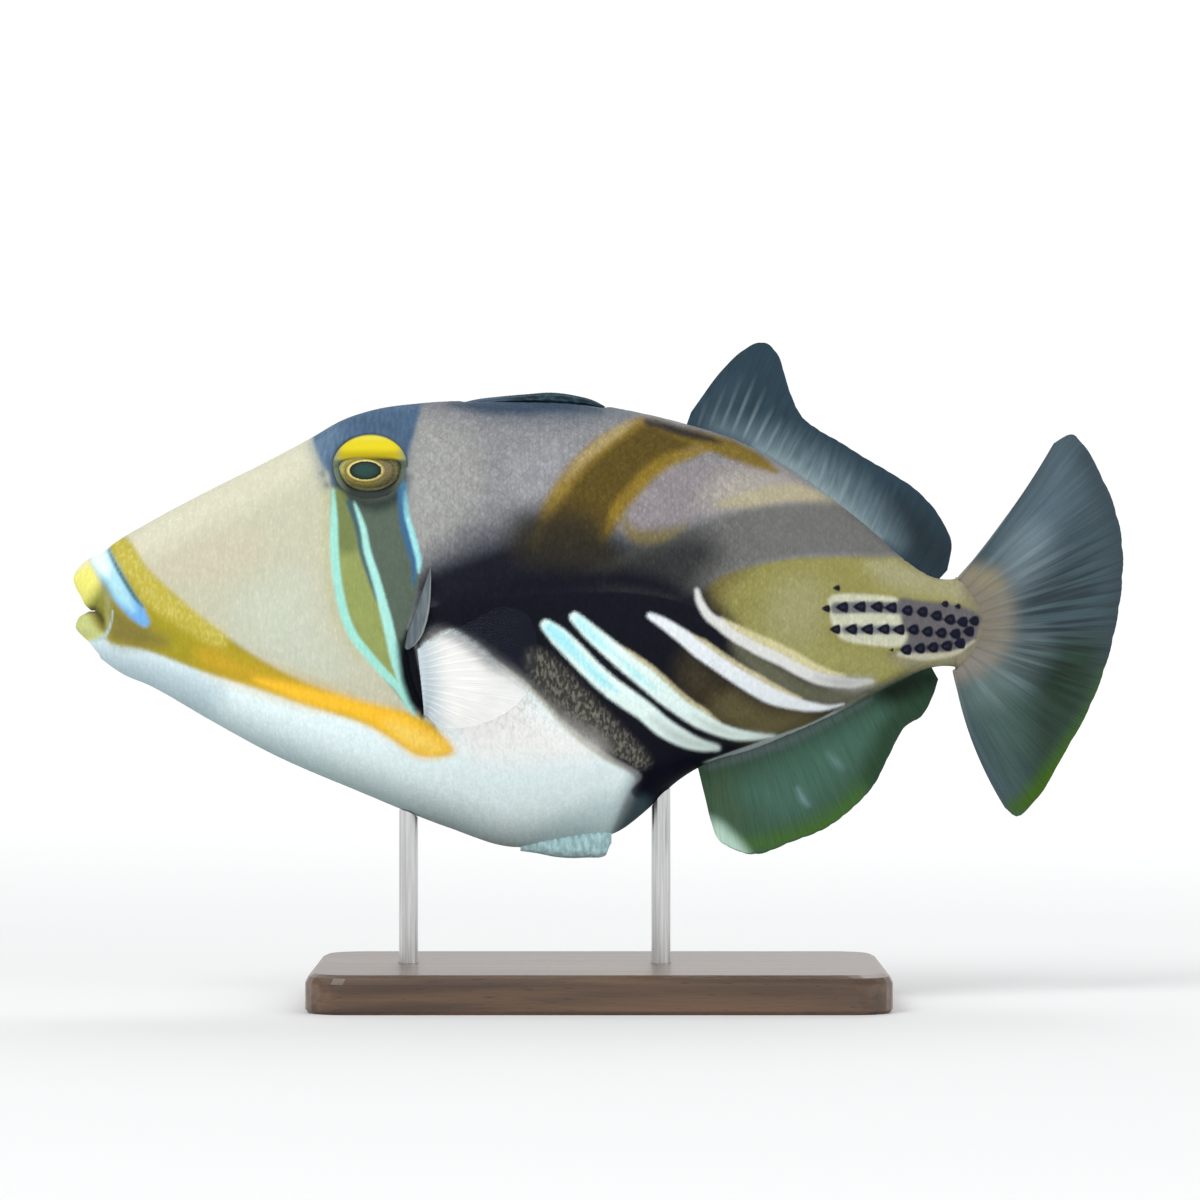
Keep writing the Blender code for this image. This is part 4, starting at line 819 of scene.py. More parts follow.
def unwrap(mesh, across, down):
    """The map OFBake from each corner's place across and down the piece's own grid, 0 to 1."""
    layer = mesh.uv_layers.new(name="OFBake")
    corner = np.zeros(len(mesh.loops), np.int32)
    mesh.loops.foreach_get("vertex_index", corner)
    uv = np.stack([across[corner], down[corner]], -1)
    # A face that crosses the seam, where the grid's last column meets its first, goes past the far edge
    starts = np.zeros(len(mesh.polygons), np.int32)
    totals = np.zeros(len(mesh.polygons), np.int32)
    mesh.polygons.foreach_get("loop_start", starts)
    mesh.polygons.foreach_get("loop_total", totals)
    face = np.repeat(np.arange(len(starts)), totals)
    for k in (0, 1):
        high = np.zeros(len(starts))
        np.maximum.at(high, face, uv[:, k])
        crossing = (high[face] > 0.9) & (uv[:, k] < 0.1)
        uv[crossing, k] += 1.0
    layer.data.foreach_set("uv", np.ascontiguousarray(uv * 0.94 + 0.005, np.float32).ravel())


def even_angles(count):
    """Angles from the belly up the right side, over the back and down the left, evenly far apart
    along a section that is two and a half times as high as it is wide."""
    fine = np.linspace(-math.pi / 2, 1.5 * math.pi, 20001)
    pace = np.hypot(np.sin(fine), 2.5 * np.cos(fine))
    run = np.concatenate([[0], np.cumsum((pace[1:] + pace[:-1]) / 2)])
    return np.interp(np.arange(count) / count * run[-1], run, fine)


def wrapped_sum(points):
    """Each ring's length from its widest point on each side, up above 0 and down below 0."""
    gaps = np.linalg.norm(np.roll(points, -1, axis=1) - points, axis=-1)
    run = np.cumsum(gaps, axis=1) - gaps
    quarter = points.shape[1] // 4
    right = run - run[:, quarter:quarter + 1]
    left = run[:, 3 * quarter:3 * quarter + 1] - run
    return np.where(np.arange(points.shape[1]) < 2 * quarter, right, left)


angles = even_angles(ROUND)
stations = np.linspace(SNOUT_FRONT, STALK_END, STATIONS)
rings = [section_point(x, angles) for x in stations]
for curl in np.radians([12, 24, 38, 52, 66, 80, 88]):  # the snout rounds in behind the lips
    ring = section_point(SNOUT_FRONT, angles)
    middle = np.array([SNOUT_FRONT, 0.0, SNOUT_LEVEL])
    ring = middle + (ring - middle) * np.array([1, math.cos(curl), math.cos(curl)])
    ring[:, 0] -= SNOUT_ROUND * math.sin(curl)
    rings.insert(0, ring)
for share in np.linspace(0, 1, 13)[1:]:  # the stalk's end narrows to the arc of the tail fin's base
    half = float(half_width(STALK_END)) * (1 - share ** 2) + END_HALF_WIDE * share ** 2
    z = END_LEVEL + END_HALF_HIGH * np.sin(angles)
    x = STALK_END + share * (tail_arc(z) - STALK_END)
    rings.append(np.stack([x, bend(x) + half * np.cos(angles), z], -1))
plain = np.array(rings)
across = wrapped_sum(plain)
rise, rows, scaly = relief(plain, plain[..., 0], plain[..., 2], across)
skin_points = plain + grid_normals(plain, True) * rise[..., None]
faces = grid_faces(len(rings), ROUND, True)
for start in (0, (len(rings) - 1) * ROUND):  # each end is closed by strips from side to side
    for k in range(ROUND // 2):
        corners = dict.fromkeys((k, k + 1, (ROUND - k - 1) % ROUND, (ROUND - k) % ROUND))
        faces.append([start + c for c in corners])
skin_material = painted_skin("fish_skin")
skin = mesh_object("skin", skin_points.reshape(-1, 3), faces, skin_material)
store_skin_marks(skin.data, plain[..., 0].ravel(), plain[..., 2].ravel())
store(skin.data, "plates", rows.reshape(-1, 3))
store(skin.data, "scaly", scaly.ravel())
grainy = 0.4 + 0.6 * step_between(plain[..., 0], -42, -34) * step_between(plain[..., 2], 50, 66)
grainy *= 1 - 0.4 * step_between(plain[..., 0], 26, 38)
store(skin.data, "grainy", grainy.ravel())
spread = crossed(np.linspace(0, 1, len(rings)), np.arange(ROUND) / ROUND)
unwrap(skin.data, spread[0].ravel(), spread[1].ravel())
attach(skin, "root")
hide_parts("head", "trunk", "tail_stalk")

# Lips: two fleshy rims round the small mouth, soft and smooth, with the same paint as the snout.
# The mouth stands a little open, as in the photograph. Each rim is widest in front and runs back
# into the snout.

LIP_ROOT = -101.0
UPPER_LIP = {  # level and foremost x, level and half width
    "front": [(82, -106.6), (82.9, -107.6), (85.2, -108.9), (87, -109.9), (88.8, -110.3),
              (90.8, -109.4), (92.7, -107.4), (94.2, -104)],
    "wide": [(82, 4.8), (84.5, 5.5), (87, 5.6), (89, 5.2), (91, 4.6), (93, 3.7), (94.2, 2.9)],
}
LOWER_LIP = {
    "front": [(71, -102.6), (73.3, -105.4), (75.2, -106.9), (76.8, -108.6), (78.3, -109.8),
              (79.7, -109.6), (80.8, -108.9), (81.8, -107)],
    "wide": [(71, 2.6), (73.3, 3.6), (75.4, 4.5), (78.4, 5.3), (80.3, 5.2), (81.8, 4.7)],
}
LIP_LEVELS, LIP_ROUND, LIP_CLOSED = 40, 64, 9  # rows, columns, and rows that round its edge in
LIP_TURN, LIP_FOLD, LIP_FOLDS, LIP_BLUNT, LIP_GRAIN = 0.3, 0.05, 34, 0.62, 0.4


def lip(name, shape, node, mouth_below):
    """A lip from its outline at each level. Its edge at the mouth turns in towards the teeth."""
    front, wide = smooth_curve(shape["front"]), smooth_curve(shape["wide"])
    sweep = np.linspace(-math.pi / 2, math.pi / 2, LIP_ROUND)
    low, high = shape["front"][0][0], shape["front"][-1][0]
    edge, turn_in = (low, LIP_TURN) if mouth_below else (high, -LIP_TURN)
    heights = [(z, 1.0) for z in np.linspace(low, high, LIP_LEVELS)]
    turned = [(edge + turn_in * math.sin(a) ** 2, math.cos(a))
              for a in np.linspace(0, 1.45, LIP_CLOSED)[1:]]
    heights = turned[::-1] + heights if mouth_below else heights + turned
    rings = []
    for z, reached in heights:
        reach = (LIP_ROOT - front(z if reached == 1 else edge)) * reached
        fold = LIP_FOLD * np.sin(sweep * LIP_FOLDS) * np.cos(sweep) * reached
        rings.append(np.stack([LIP_ROOT - (reach + fold) * np.abs(np.cos(sweep)) ** LIP_BLUNT,
                               wide(z) * (0.6 + 0.4 * reached) * np.sin(sweep), z + 0 * sweep], -1))
    points = np.array(rings).reshape(-1, 3)
    made = mesh_object(name, points, grid_faces(len(rings), LIP_ROUND), skin_material)
    store_skin_marks(made.data, points[:, 0], points[:, 2])
    for label, value in (("plates", (0.0, 0.0, 0.0)), ("scaly", 0.0), ("grainy", LIP_GRAIN)):
        store(made.data, label, np.array([value] * len(points)))
    spread = crossed(np.linspace(0, 1, len(rings)), np.linspace(0, 1, LIP_ROUND))
    unwrap(made.data, spread[1].ravel(), spread[0].ravel())
    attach(made, "root")
    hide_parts(node)


lip("upper_lip_skin", UPPER_LIP, "upper_lip", True)
lip("lower_lip_skin", LOWER_LIP, "lower_lip", False)

# Eyes: a glossy ball a little flattened, set deep in the head, with an oval teal pupil in a gold
# rim and a streaked olive iris inside a pale ring, lightened low down with painted light, and
# painted shade past the ring. A fleshy lid holds it, thick and bright yellow above like a brow,
# with a painted highlight on top and painted shadow under its edge, and thin below, where it is
# painted dark as shade.

PUPIL_X, PUPIL_LEVEL, PUPIL_FLAT = -48.5, 111.1, 0.57
IRIS_RINGS = [  # how far from the pupil's middle in mm, and the colour there
    (0.0, (0.007, 0.050, 0.034)), (1.5, (0.012, 0.046, 0.046)), (2.4, (0.008, 0.018, 0.019)),
    (3.2, (0.003, 0.004, 0.003)), (3.5, (0.78, 0.70, 0.24)), (3.85, (0.56, 0.47, 0.11)),
    (4.15, (0.20, 0.15, 0.035)), (4.6, (0.31, 0.25, 0.060)), (5.3, (0.27, 0.23, 0.07)),
    (6.5, (0.20, 0.18, 0.06))]
IRIS_RIGHT, PUPIL_SHEEN = (0.19, 0.16, 0.10), (0.030, 0.115, 0.075)
# The last of the ring's colours is painted light for its lower part, against the shade there
RING_LEFT, RING_RIGHT, RING_LOW_PAINTED_LIGHT = (0.40, 0.40, 0.14), (0.48, 0.46, 0.21), (0.74, 0.76, 0.46)
# Painted shade on the ball past the pale ring
PAST_RING_SHADE = (0.050, 0.060, 0.040)
RING_X, RING_LEVEL, RING_HALF, RING_UP, RING_DOWN, RING_SQUARE = -47.8, 111.2, 6.2, 3.3, 4.35, 2.3
LID_X, LID_LEVEL, LID_OUTER, LID_INNER, LID_TOP, LID_BOTTOM = -47.6, 111.8, (7.9, 6.9), 6.4, 1.5, 5.1
BALL_ROWS, BALL_ROUND, LID_ROUND, LID_ACROSS = 80, 96, 144, 24  # rows and columns of points
# The lower lid's colours are painted dark as shade
LOW_LID_SHADE = (0.018, 0.026, 0.024), (0.044, 0.055, 0.048)
LID_LEFT, LID_RIGHT = ((0.115, 0.155, 0.110), (0.175, 0.225, 0.160)), (0.135, 0.175, 0.122)
BROW_LOW, BROW_HIGH = 112.9, 113.7  # levels between which the dark lid turns yellow
# The brow's yellow, painted darker below as shade, then a painted highlight for its top and a painted
# shadow under its inner edge
BROW_SHADED_YELLOWS = (0.52, 0.41, 0.008), (0.80, 0.66, 0.016)
BROW_HIGHLIGHT, BROW_UNDER_SHADOW = (0.88, 0.80, 0.12), (0.22, 0.19, 0.020)
BROW_ENDS, BROW_OUTSIDE = (0.31, 0.37, 0.19), (0.10, 0.10, 0.05)


def eye_material():
    """A streaked iris in rings round the pupil, then a pale ring lightened low down as painted light,
    and painted shade beyond it.
    """
    n = Paint("eye_ball", (0.1, 0.1, 0.05), 0.3, Specular_IOR_Level=0.2, Coat_Weight=0.12,
              Coat_Roughness=0.04)
    away, right = n.attribute("from_pupil"), n.ramp(n.attribute("rightward"), -0.2, 0.9)
    streak = n.noise(1.0, 3.0, n.combine(n.math("MULTIPLY", away, 1.6),
                                         n.math("MULTIPLY", n.attribute("round_pupil"), 9.0), 0.0))
    colour = IRIS_RINGS[0][1]
    place = n.math("ADD", away, n.product(n.swing(streak), 0.45))
    for (low, _), (high, paint) in zip(IRIS_RINGS, IRIS_RINGS[1:]):
        colour = n.blend(n.ramp(place, low, high), colour, paint)
    colour = n.blend(n.product(n.ramp(away, 3.3, 3.6), right, 0.7), colour, IRIS_RIGHT)
    sheen = n.product(n.ramp(n.noise(420.0, 2.0), 0.45, 0.65), n.ramp(away, 3.2, 2.4, 0.0, 0.7))
    colour = n.blend(sheen, colour, PUPIL_SHEEN)
    ring = n.math("ADD", n.attribute("from_ring"), n.product(n.swing(streak), 0.04))
    pale = n.blend(right, RING_LEFT, RING_RIGHT)
    # The pale ring is lightened low on the ball: painted light against the shade there
    pale = n.blend(n.ramp(n.attribute("upward"), -0.3, -0.9), pale, RING_LOW_PAINTED_LIGHT)
    colour = n.blend(n.product(n.ramp(ring, 0.82, 0.92), 0.9), colour, pale)
    # Past the ring the ball is painted dark as shade
    colour = n.blend(n.ramp(ring, 1.02, 1.10), colour, PAST_RING_SHADE)
    n.surface(n.shaded(colour, n.ramp(streak, 0.3, 0.7, 0.8, 1.18)))
    return n.material


def lid_material():
    """Painted dark below as shade, with specks, paler at its two ends, and a yellow brow above with
    painted shade and a painted highlight.
    """
    n = Paint("eye_lid", (0.5, 0.4, 0.05), 0.42, Specular_IOR_Level=0.12)
    level, rim, aside = n.attribute("level"), n.attribute("rim"), n.attribute("rightward")
    speck = n.noise(900.0, 3.0)
    # Below the eye the lid is painted dark as shade, and paler towards its two ends
    dark, left = (n.blend(n.ramp(speck, 0.3, 0.7), *pair) for pair in (LOW_LID_SHADE, LID_LEFT))
    dark = n.blend(n.ramp(aside, -0.45, -0.95), dark, left)
    dark = n.blend(n.ramp(aside, 0.45, 0.95, 0.0, 0.8), dark, LID_RIGHT)
    # The brow's yellow is painted darker low down as shade, with a painted highlight on top and painted
    # shadow under its inner edge
    yellow = n.blend(n.ramp(level, 114.2, 116.0), *BROW_SHADED_YELLOWS)
    yellow = n.blend(n.ramp(level, 116.8, 118.4, 0.0, 0.6), yellow, BROW_HIGHLIGHT)
    yellow = n.blend(n.ramp(rim, -0.6, -1.0), yellow, BROW_UNDER_SHADOW)
    yellow = n.blend(n.ramp(n.math("ABSOLUTE", aside), 0.66, 0.98, 0.0, 0.85), yellow, BROW_ENDS)
    yellow = n.blend(n.ramp(rim, 0.80, 1.0, 0.0, 0.8), yellow, BROW_OUTSIDE)
    edge = n.math("ADD", level, n.product(n.swing(speck), 0.8))
    n.surface(n.blend(n.ramp(edge, BROW_LOW, BROW_HIGH), dark, yellow), speck, 0.00005)
    return n.material


eye_paint, lid_paint = eye_material(), lid_material()
for side, word in ((-1, "left"), (1, "right")):
    out = float(side_at(EYE_X, EYE_LEVEL)) + EYE_OUT - EYE_SIZE[1]
    tilt, around = crossed(np.linspace(0.01, math.pi - 0.3, BALL_ROWS), full_turn(BALL_ROUND))
    ball = np.array([EYE_X, side * out, EYE_LEVEL]) + np.stack([
        EYE_SIZE[0] * np.sin(tilt) * np.cos(around), side * EYE_SIZE[1] * np.cos(tilt),
        EYE_SIZE[2] * np.sin(tilt) * np.sin(around)], -1)
    faces = grid_faces(BALL_ROWS, BALL_ROUND, True) + [list(range(BALL_ROUND))]
    if side > 0:
        faces = [face[::-1] for face in faces]
    eye = mesh_object("eye_ball_" + word, ball.reshape(-1, 3), faces, eye_paint)
    dx, dz = ball[..., 0] - PUPIL_X, (ball[..., 2] - PUPIL_LEVEL) / PUPIL_FLAT
    off_x, off_z = np.abs(ball[..., 0] - RING_X) / RING_HALF, ball[..., 2] - RING_LEVEL
    off_z = np.where(off_z > 0, off_z / RING_UP, -off_z / RING_DOWN)
    for label, values in (
            ("from_pupil", np.where(tilt < 1.6, np.hypot(dx, dz), 9.0)),  # far off on the ball's back
            ("round_pupil", np.abs(np.arctan2(dz, dx))),
            ("from_ring", (off_x ** RING_SQUARE + off_z ** RING_SQUARE) ** (1 / RING_SQUARE)),
            ("rightward", (ball[..., 0] - EYE_X) / EYE_SIZE[0]),
            ("upward", (ball[..., 2] - EYE_LEVEL) / EYE_SIZE[2])):
        store(eye.data, label, values.ravel())
    unwrap(eye.data, around.ravel() / 2 / math.pi, tilt.ravel() / math.pi)
    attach(eye, "root")
    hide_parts("eye_" + word)

    around, across = crossed(full_turn(LID_ROUND), full_turn(LID_ACROSS))
    rise = np.sin(around)
    top = np.clip(rise, 0, 1) ** 0.4
    outer = np.stack([LID_OUTER[0] * np.cos(around), LID_OUTER[1] * rise], -1)
    inner_x = LID_INNER * np.sign(np.cos(around)) * np.abs(np.cos(around)) ** 0.7
    inner = np.stack([inner_x, np.where(rise > 0, LID_TOP * top, LID_BOTTOM * rise)], -1)
    spot = (outer + inner) / 2 + (outer - inner) / 2 * np.cos(across)[..., None]
    spot = spot + np.array([LID_X, LID_LEVEL])
    lift = 0.1 + 1.4 * top + (0.65 + 0.9 * top) * np.sin(across)
    points = on_skin(spot[..., 0], spot[..., 1], side)
    points[..., 1] += side * lift
    faces, last = grid_faces(LID_ROUND, LID_ACROSS, True), (LID_ROUND - 1) * LID_ACROSS
    for a, b in zip(range(LID_ACROSS), [*range(1, LID_ACROSS), 0]):
        faces.append([last + a, last + b, b, a])
    lid = mesh_object("eye_lid_" + word, points.reshape(-1, 3), faces, lid_paint)
    for label, values in (("level", spot[..., 1]), ("rim", np.cos(across)),
                          ("rightward", (spot[..., 0] - LID_X) / LID_OUTER[0])):
        store(lid.data, label, values.ravel())
    unwrap(lid.data, around.ravel() / 2 / math.pi, across.ravel() / 2 / math.pi)
    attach(lid, "root")

# Gill flaps: a thin grey leaf of skin over a stiff bone, hinged in front and free behind, in
# front of the short gill opening. It lies along the side of the head.

GILL_FLAP = [(-34.8, 90.9, 0.1), (-35.3, 87.9, 0.63), (-35.8, 85.3, 1.07), (-36.4, 82.6, 1.47),
             (-37.1, 80.1, 1.8), (-37.7, 78.1, 1.85), (-38.2, 76.4, 1.7), (-39, 74.7, 1.1),
             (-39.4, 74, 0.2)]


def closed_sheet(near, far):
    """Points and faces of a closed leaf between two grids of points."""
    rows, columns = near.shape[:2]
    grid = np.arange(rows * columns).reshape(rows, columns)
    front = grid_faces(rows, columns)
    other = [[c + rows * columns for c in face[::-1]] for face in front]
    rim = [*grid[:, 0], *grid[-1, 1:], *grid[-2::-1, -1], *grid[0, -2:0:-1]]
    edge = [[b, a, a + rows * columns, b + rows * columns] for a, b in zip(rim, rim[1:] + rim[:1])]
    return np.concatenate([near.reshape(-1, 3), far.reshape(-1, 3)]), front + other + edge


FLAP_SKIN = (0.082, 0.112, 0.130), (0.155, 0.185, 0.200)
FLAP_FREE, FLAP_FRONT = (0.28, 0.31, 0.31), (0.07, 0.09, 0.08)
FLAP_ROWS, FLAP_ACROSS, FLAP_HALF_THICK = 49, 14, 0.35
n = Paint("gill_flap", (0.2, 0.24, 0.28), 0.45, Specular_IOR_Level=0.1)
grain, rim = n.grain(900.0, 900.0, 160.0, 4.0), n.attribute("rim")
colour = n.blend(n.ramp(grain, 0.3, 0.7), *FLAP_SKIN)
colour = n.blend(n.ramp(rim, 0.65, 1.0), colour, FLAP_FREE)
colour = n.blend(n.ramp(rim, -0.6, -1.0), colour, FLAP_FRONT)
n.surface(colour, grain)
for side, word in ((-1, "left"), (1, "right")):
    down, over = crossed(np.arange(FLAP_ROWS), np.linspace(-1, 1, FLAP_ACROSS))
    x, z, half = np.moveaxis(curve_through(GILL_FLAP)[down], -1, 0)
    share, half = down / (FLAP_ROWS - 1), np.maximum(half, 0.08)
    x, z = x + half * over, z + 0.3 * half * over
    lift = 0.15 + 0.55 * (over + 1) / 2 + 0.35 * np.cos(over * math.pi / 2)
    points, faces = closed_sheet(on_skin(x, z, side, lift + FLAP_HALF_THICK),
                                 on_skin(x, z, side, lift - FLAP_HALF_THICK))
    flap = mesh_object("gill_leaf_" + word, points, faces, n.material)
    store(flap.data, "rim", np.tile(over.ravel(), 2))
    unwrap(flap.data, np.tile((over.ravel() + 1) / 4, 2) + np.repeat([0, 0.5], over.size),
           np.tile(share.ravel(), 2))
    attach(flap, "root")
    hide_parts("gill_flap_" + word)

# First dorsal fin: three stiff spines and their dark web, folded down together into a groove of
# the back. The foremost spine is the thickest and lies on top, rough in front like a file.

FOLDED_FIN = [(-28.4, -0.7, 0.4, 0.4), (-26, -0.5, 1, 0.7), (-21, 0, 1.5, 0.8), (-15, 0.3, 1.8, 1),
              (-10, 0.45, 1.6, 1.25), (-5, 0.35, 1.3, 1.05), (-1, 0.1, 0.9, 0.7), (1.2, -0.4, 0.4, 0.4)]
SPINE_DARK, SPINE_FRONT = ((0.004, 0.014, 0.021), (0.024, 0.080, 0.108)), (0.060, 0.105, 0.160)
n = Paint("dark_spine", (0.02, 0.03, 0.04), 0.55, Specular_IOR_Level=0.25)
grain = n.grain(700.0, 2200.0, 2200.0, 4.0)
ahead = n.ramp(n.add("ShaderNodeSeparateXYZ", {0: n.place()}), -0.015, -0.024)
n.surface(n.blend(ahead, n.blend(n.ramp(grain, 0.35, 0.75), *SPINE_DARK), SPINE_FRONT), grain, 0.00015)


def tube(name, keys, rows, columns, section, material):
    """A closed tube along x through the keys (x, ...), with its own section, and its map."""
    start, end = keys[0][0], keys[-1][0]
    x, around = crossed(np.linspace(start, end, rows), full_turn(columns))
    rows_along = [smooth_curve([(key[0], key[k]) for key in keys])(x) for k in range(1, len(keys[0]))]
    faces = grid_faces(rows, columns, True)
    faces += [list(range(columns)), list(range((rows - 1) * columns, rows * columns))[::-1]]
    points = np.stack(section(x, around, *rows_along), -1)
    made = mesh_object(name, points.reshape(-1, 3), faces, material)
    unwrap(made.data, around.ravel() / 2 / math.pi, (x.ravel() - start) / (end - start))
    return made


def folded_section(x, around, rise, half_y, half_z):
    """Three spines one over the other with the web's folds between them, filed rough on top."""
    folds = 1 + 0.13 * np.abs(np.sin(around * 4 + 0.35)) - 0.08
    rough = 1 + 0.05 * np.sin(x * 9) * np.sin(around * 14) * (np.sin(around) > 0.3)
    return (x, half_y * folds * np.cos(around) + 0.12 * np.sin(x / 4),
            back(x) + rise + half_z * folds * rough * np.sin(around))


folded = tube("folded_spiny_fin", FOLDED_FIN, 120, 48, folded_section, n.material)
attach(folded, "root")
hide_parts("spiny_dorsal_fin")

# Spines of the tail stalk: small stiff thorns of bone that curve forward, one on each dark spot but the
# rearmost.

THORN_WIDE, THORN_HIGH, THORN_FORWARD, THORNS_END = 0.62, 0.95, 1.0, 74.5
THORN_ROWS, THORN_ROUND = 6, 10
THORN_PAINT = (0.004, 0.005, 0.016), (0.016, 0.019, 0.045)
n = Paint("stalk_thorn", (0.01, 0.012, 0.03), 0.45, Specular_IOR_Level=0.15)
grain = n.grain(2200.0, 2200.0, 2200.0, 3.0)
n.surface(n.blend(n.ramp(grain, 0.35, 0.75), *THORN_PAINT), grain)
points, faces, spread = [], [], []
for side in (-1, 1):
    for k, ((sx, sz), size) in enumerate(zip(STALK_SPINES, SPOT_SIZES)):
        if sx > THORNS_END:
            continue
        start = len(points)
        for share in np.linspace(0, 1, THORN_ROWS):
            wide = THORN_WIDE * size * (1 - share) ** 0.8 + 0.05
            ahead = THORN_FORWARD * size * share ** 1.5
            for a in 2 * math.pi * np.arange(THORN_ROUND) / THORN_ROUND:
                at = sx + 0.2 - ahead + wide * 1.25 * math.cos(a), sz + wide * math.sin(a)
                points.append(on_skin(*at, side, -0.15 + THORN_HIGH * size * share))
                spread.append(((k % 10 + a / 7) / 10, (k // 10 + share * 0.8 + (side + 1) * 1.6) / 7))
        new = grid_faces(THORN_ROWS, THORN_ROUND, True, start)
        new.append(list(range(len(points) - THORN_ROUND, len(points))))
        faces += [face[::-1] for face in new] if side < 0 else new
thorns = mesh_object("stalk_thorns", points, faces, n.material)
unwrap(thorns.data, *np.array(spread).T)
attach(thorns, "root")

# Soft fins: a thin tough web over bony rays that branch towards the margin. The second dorsal and
# the anal fin beat to swim, one leaning away and one towards the camera, and the tail fin steers.

SOFT_DORSAL = [(18, 19.3, 123.6, 0), (20.6, 25, 131.5, 0), (23.4, 30.2, 136.7, 0),
               (26.2, 34.5, 138.5, 0), (29, 37.6, 136, 0), (32.4, 39.9, 128.8, 0),
               (36.8, 42.4, 123.2, 0), (41.6, 46.2, 120, 0), (46.6, 50.6, 117.5, 0),
               (51.6, 56, 114.1, 0), (56.4, 61.7, 110.8, 0), (61.2, 67.4, 106.9, 0),
               (65.6, 72.2, 101.1, 0), (68.8, 74.3, 95.2, 0), (70.6, 73.3, 90.4, 0)]
ANAL = [(20.5, 23.1, 39.6, 0), (22.9, 24.8, 34.4, 0), (25.4, 28.6, 32.1, 0), (29.2, 33.2, 31.4, 0),
        (33.8, 39.9, 33.8, 0), (39.1, 47.1, 36.6, 0), (44.3, 52.7, 40.6, 0), (49.6, 57.4, 45.5, 0),
        (54.8, 60.6, 51.5, 0), (59, 63.9, 57.4, 0), (63.2, 67.9, 60.2, 0), (66.8, 70.3, 64.6, 0),
        (69.3, 71.3, 67.5, 0)]
CAUDAL = [(88.6, 96.2, 117.3, -0.8), (88.2, 99.4, 119.2, -0.4), (87.4, 102.6, 117.2, 0),
          (86.4, 106, 111.8, 0), (84.6, 109.6, 104, 0), (82.4, 111.4, 95.5, 0), (80.2, 111.2, 87.3, 0),
          (78, 109.9, 79.2, 0), (75.6, 107.4, 70, 0), (73.2, 103.2, 60, 0), (71.2, 97.2, 49.8, -0.5),
          (70.2, 92, 41.6, -1), (69.7, 88.2, 38.5, -1.4), (69.3, 85.6, 40.4, -1.6)]
PECTORAL_ROOT = [(-37.4, 74.1), (-35.9, 60.7)]
PECTORAL = [(0, -20.2, 83.1, 0), (0.12, -14.9, 81.4, 0), (0.25, -12.8, 76.8, 0), (0.38, -12.4, 71.6, 0),
            (0.5, -13.9, 66.3, 0), (0.6, -17, 62.5, 0), (0.7, -21.2, 59.8, 0), (0.8, -26, 58.1, 0),
            (0.9, -30.2, 57.7, 0), (1, -33.4, 58.1, 0)]
BETWEEN_RAYS, WEB_HALF = 14, 0.16  # points from ray to ray, and half the web's thickness
DORSAL_MARKS = [
    ("front", 8, 0.6, 0.5, (0.045, 0.08, 0.11),
     [(18, 121), (22, 127), (29, 131), (29, 124), (26, 118)]),
    ("rear", 10, 0.6, 0.9, (0.017, 0.029, 0.038),
     [(60, 103), (66, 104.5), (75, 96), (73, 88), (66, 91.5), (61, 97.5)]),
    ("base", 9, 0.8, 0.9, (0.155, 0.225, 0.26),
     [(25, 120.5), (31, 118.4), (38, 115.6), (47, 109.8), (56, 102.8), (62, 96.5)],
     (0.6, 2, 3.6, 4.2, 3.8, 1.2)),
    ("base_pale", 4, 0.8, 0.85, (0.32, 0.42, 0.44),
     [(33, 116.3), (40, 112.3), (47, 107.2), (54, 101.6), (59, 97.5)], (0.1, 0.9, 1.1, 0.6, 0.1)),
]
ANAL_MARKS = [
    ("front", 6, 0.6, 0.8, (0.05, 0.1, 0.052),
     [(21, 48), (22, 40), (26, 36), (31, 38), (29, 46), (26, 51)]),
    ("sheen", 9, 0.8, 0.85, (0.06, 0.148, 0.108),
     [(30, 44), (38, 50), (50, 57), (60, 62), (62, 59), (54, 50), (46, 42), (38, 38.5)]),
    ("green", 6, 0.6, 0.9, (0.052, 0.14, 0.014),
     [(28, 33), (36, 33.8), (46, 36.8), (54, 43), (59, 49.5)], (0.4, 1.5, 1.8, 1.4, 0.2)),
    ("corner", 3.4, 0.5, 1, (0.46, 0.66, 0.54),
     [(22.6, 38.4), (23.6, 34), (27, 31.4), (31, 31), (30, 33), (27.6, 35.6), (25.2, 37.6)]),
    ("rear", 6, 0.6, 1, (0.006, 0.018, 0.009),
     [(58, 65.5), (64, 69), (72, 70), (72, 62.5), (66, 61.5), (61, 62)]),
    ("rear_low", 5, 0.6, 0.95, (0.018, 0.054, 0.026),
     [(55, 47), (57.6, 54), (61, 60), (71, 66), (70, 60), (64, 51), (58.5, 44)]),
    # Painted light along the fold at the fin's root
    ("base", 2.6, 0.5, 0.8, (0.12, 0.155, 0.165),
     [(23, 48.9), (31, 51.5), (40, 54.6), (49, 58.9), (57, 63)], (0.3, 0.8, 0.8, 0.6, 0.1)),
    ("glint_1", 2.4, 0.3, 0.7, (0.24, 0.38, 0.42),
     [(41.6, 44.6), (42.6, 42.6), (43.6, 41.4)], (0.1, 0.4, 0.1)),
    ("glint_2", 3, 0.3, 0.5, (0.2, 0.32, 0.33),
     [(48, 51.8), (49.6, 50.2), (51, 49.2)], (0.1, 0.5, 0.1)),
]
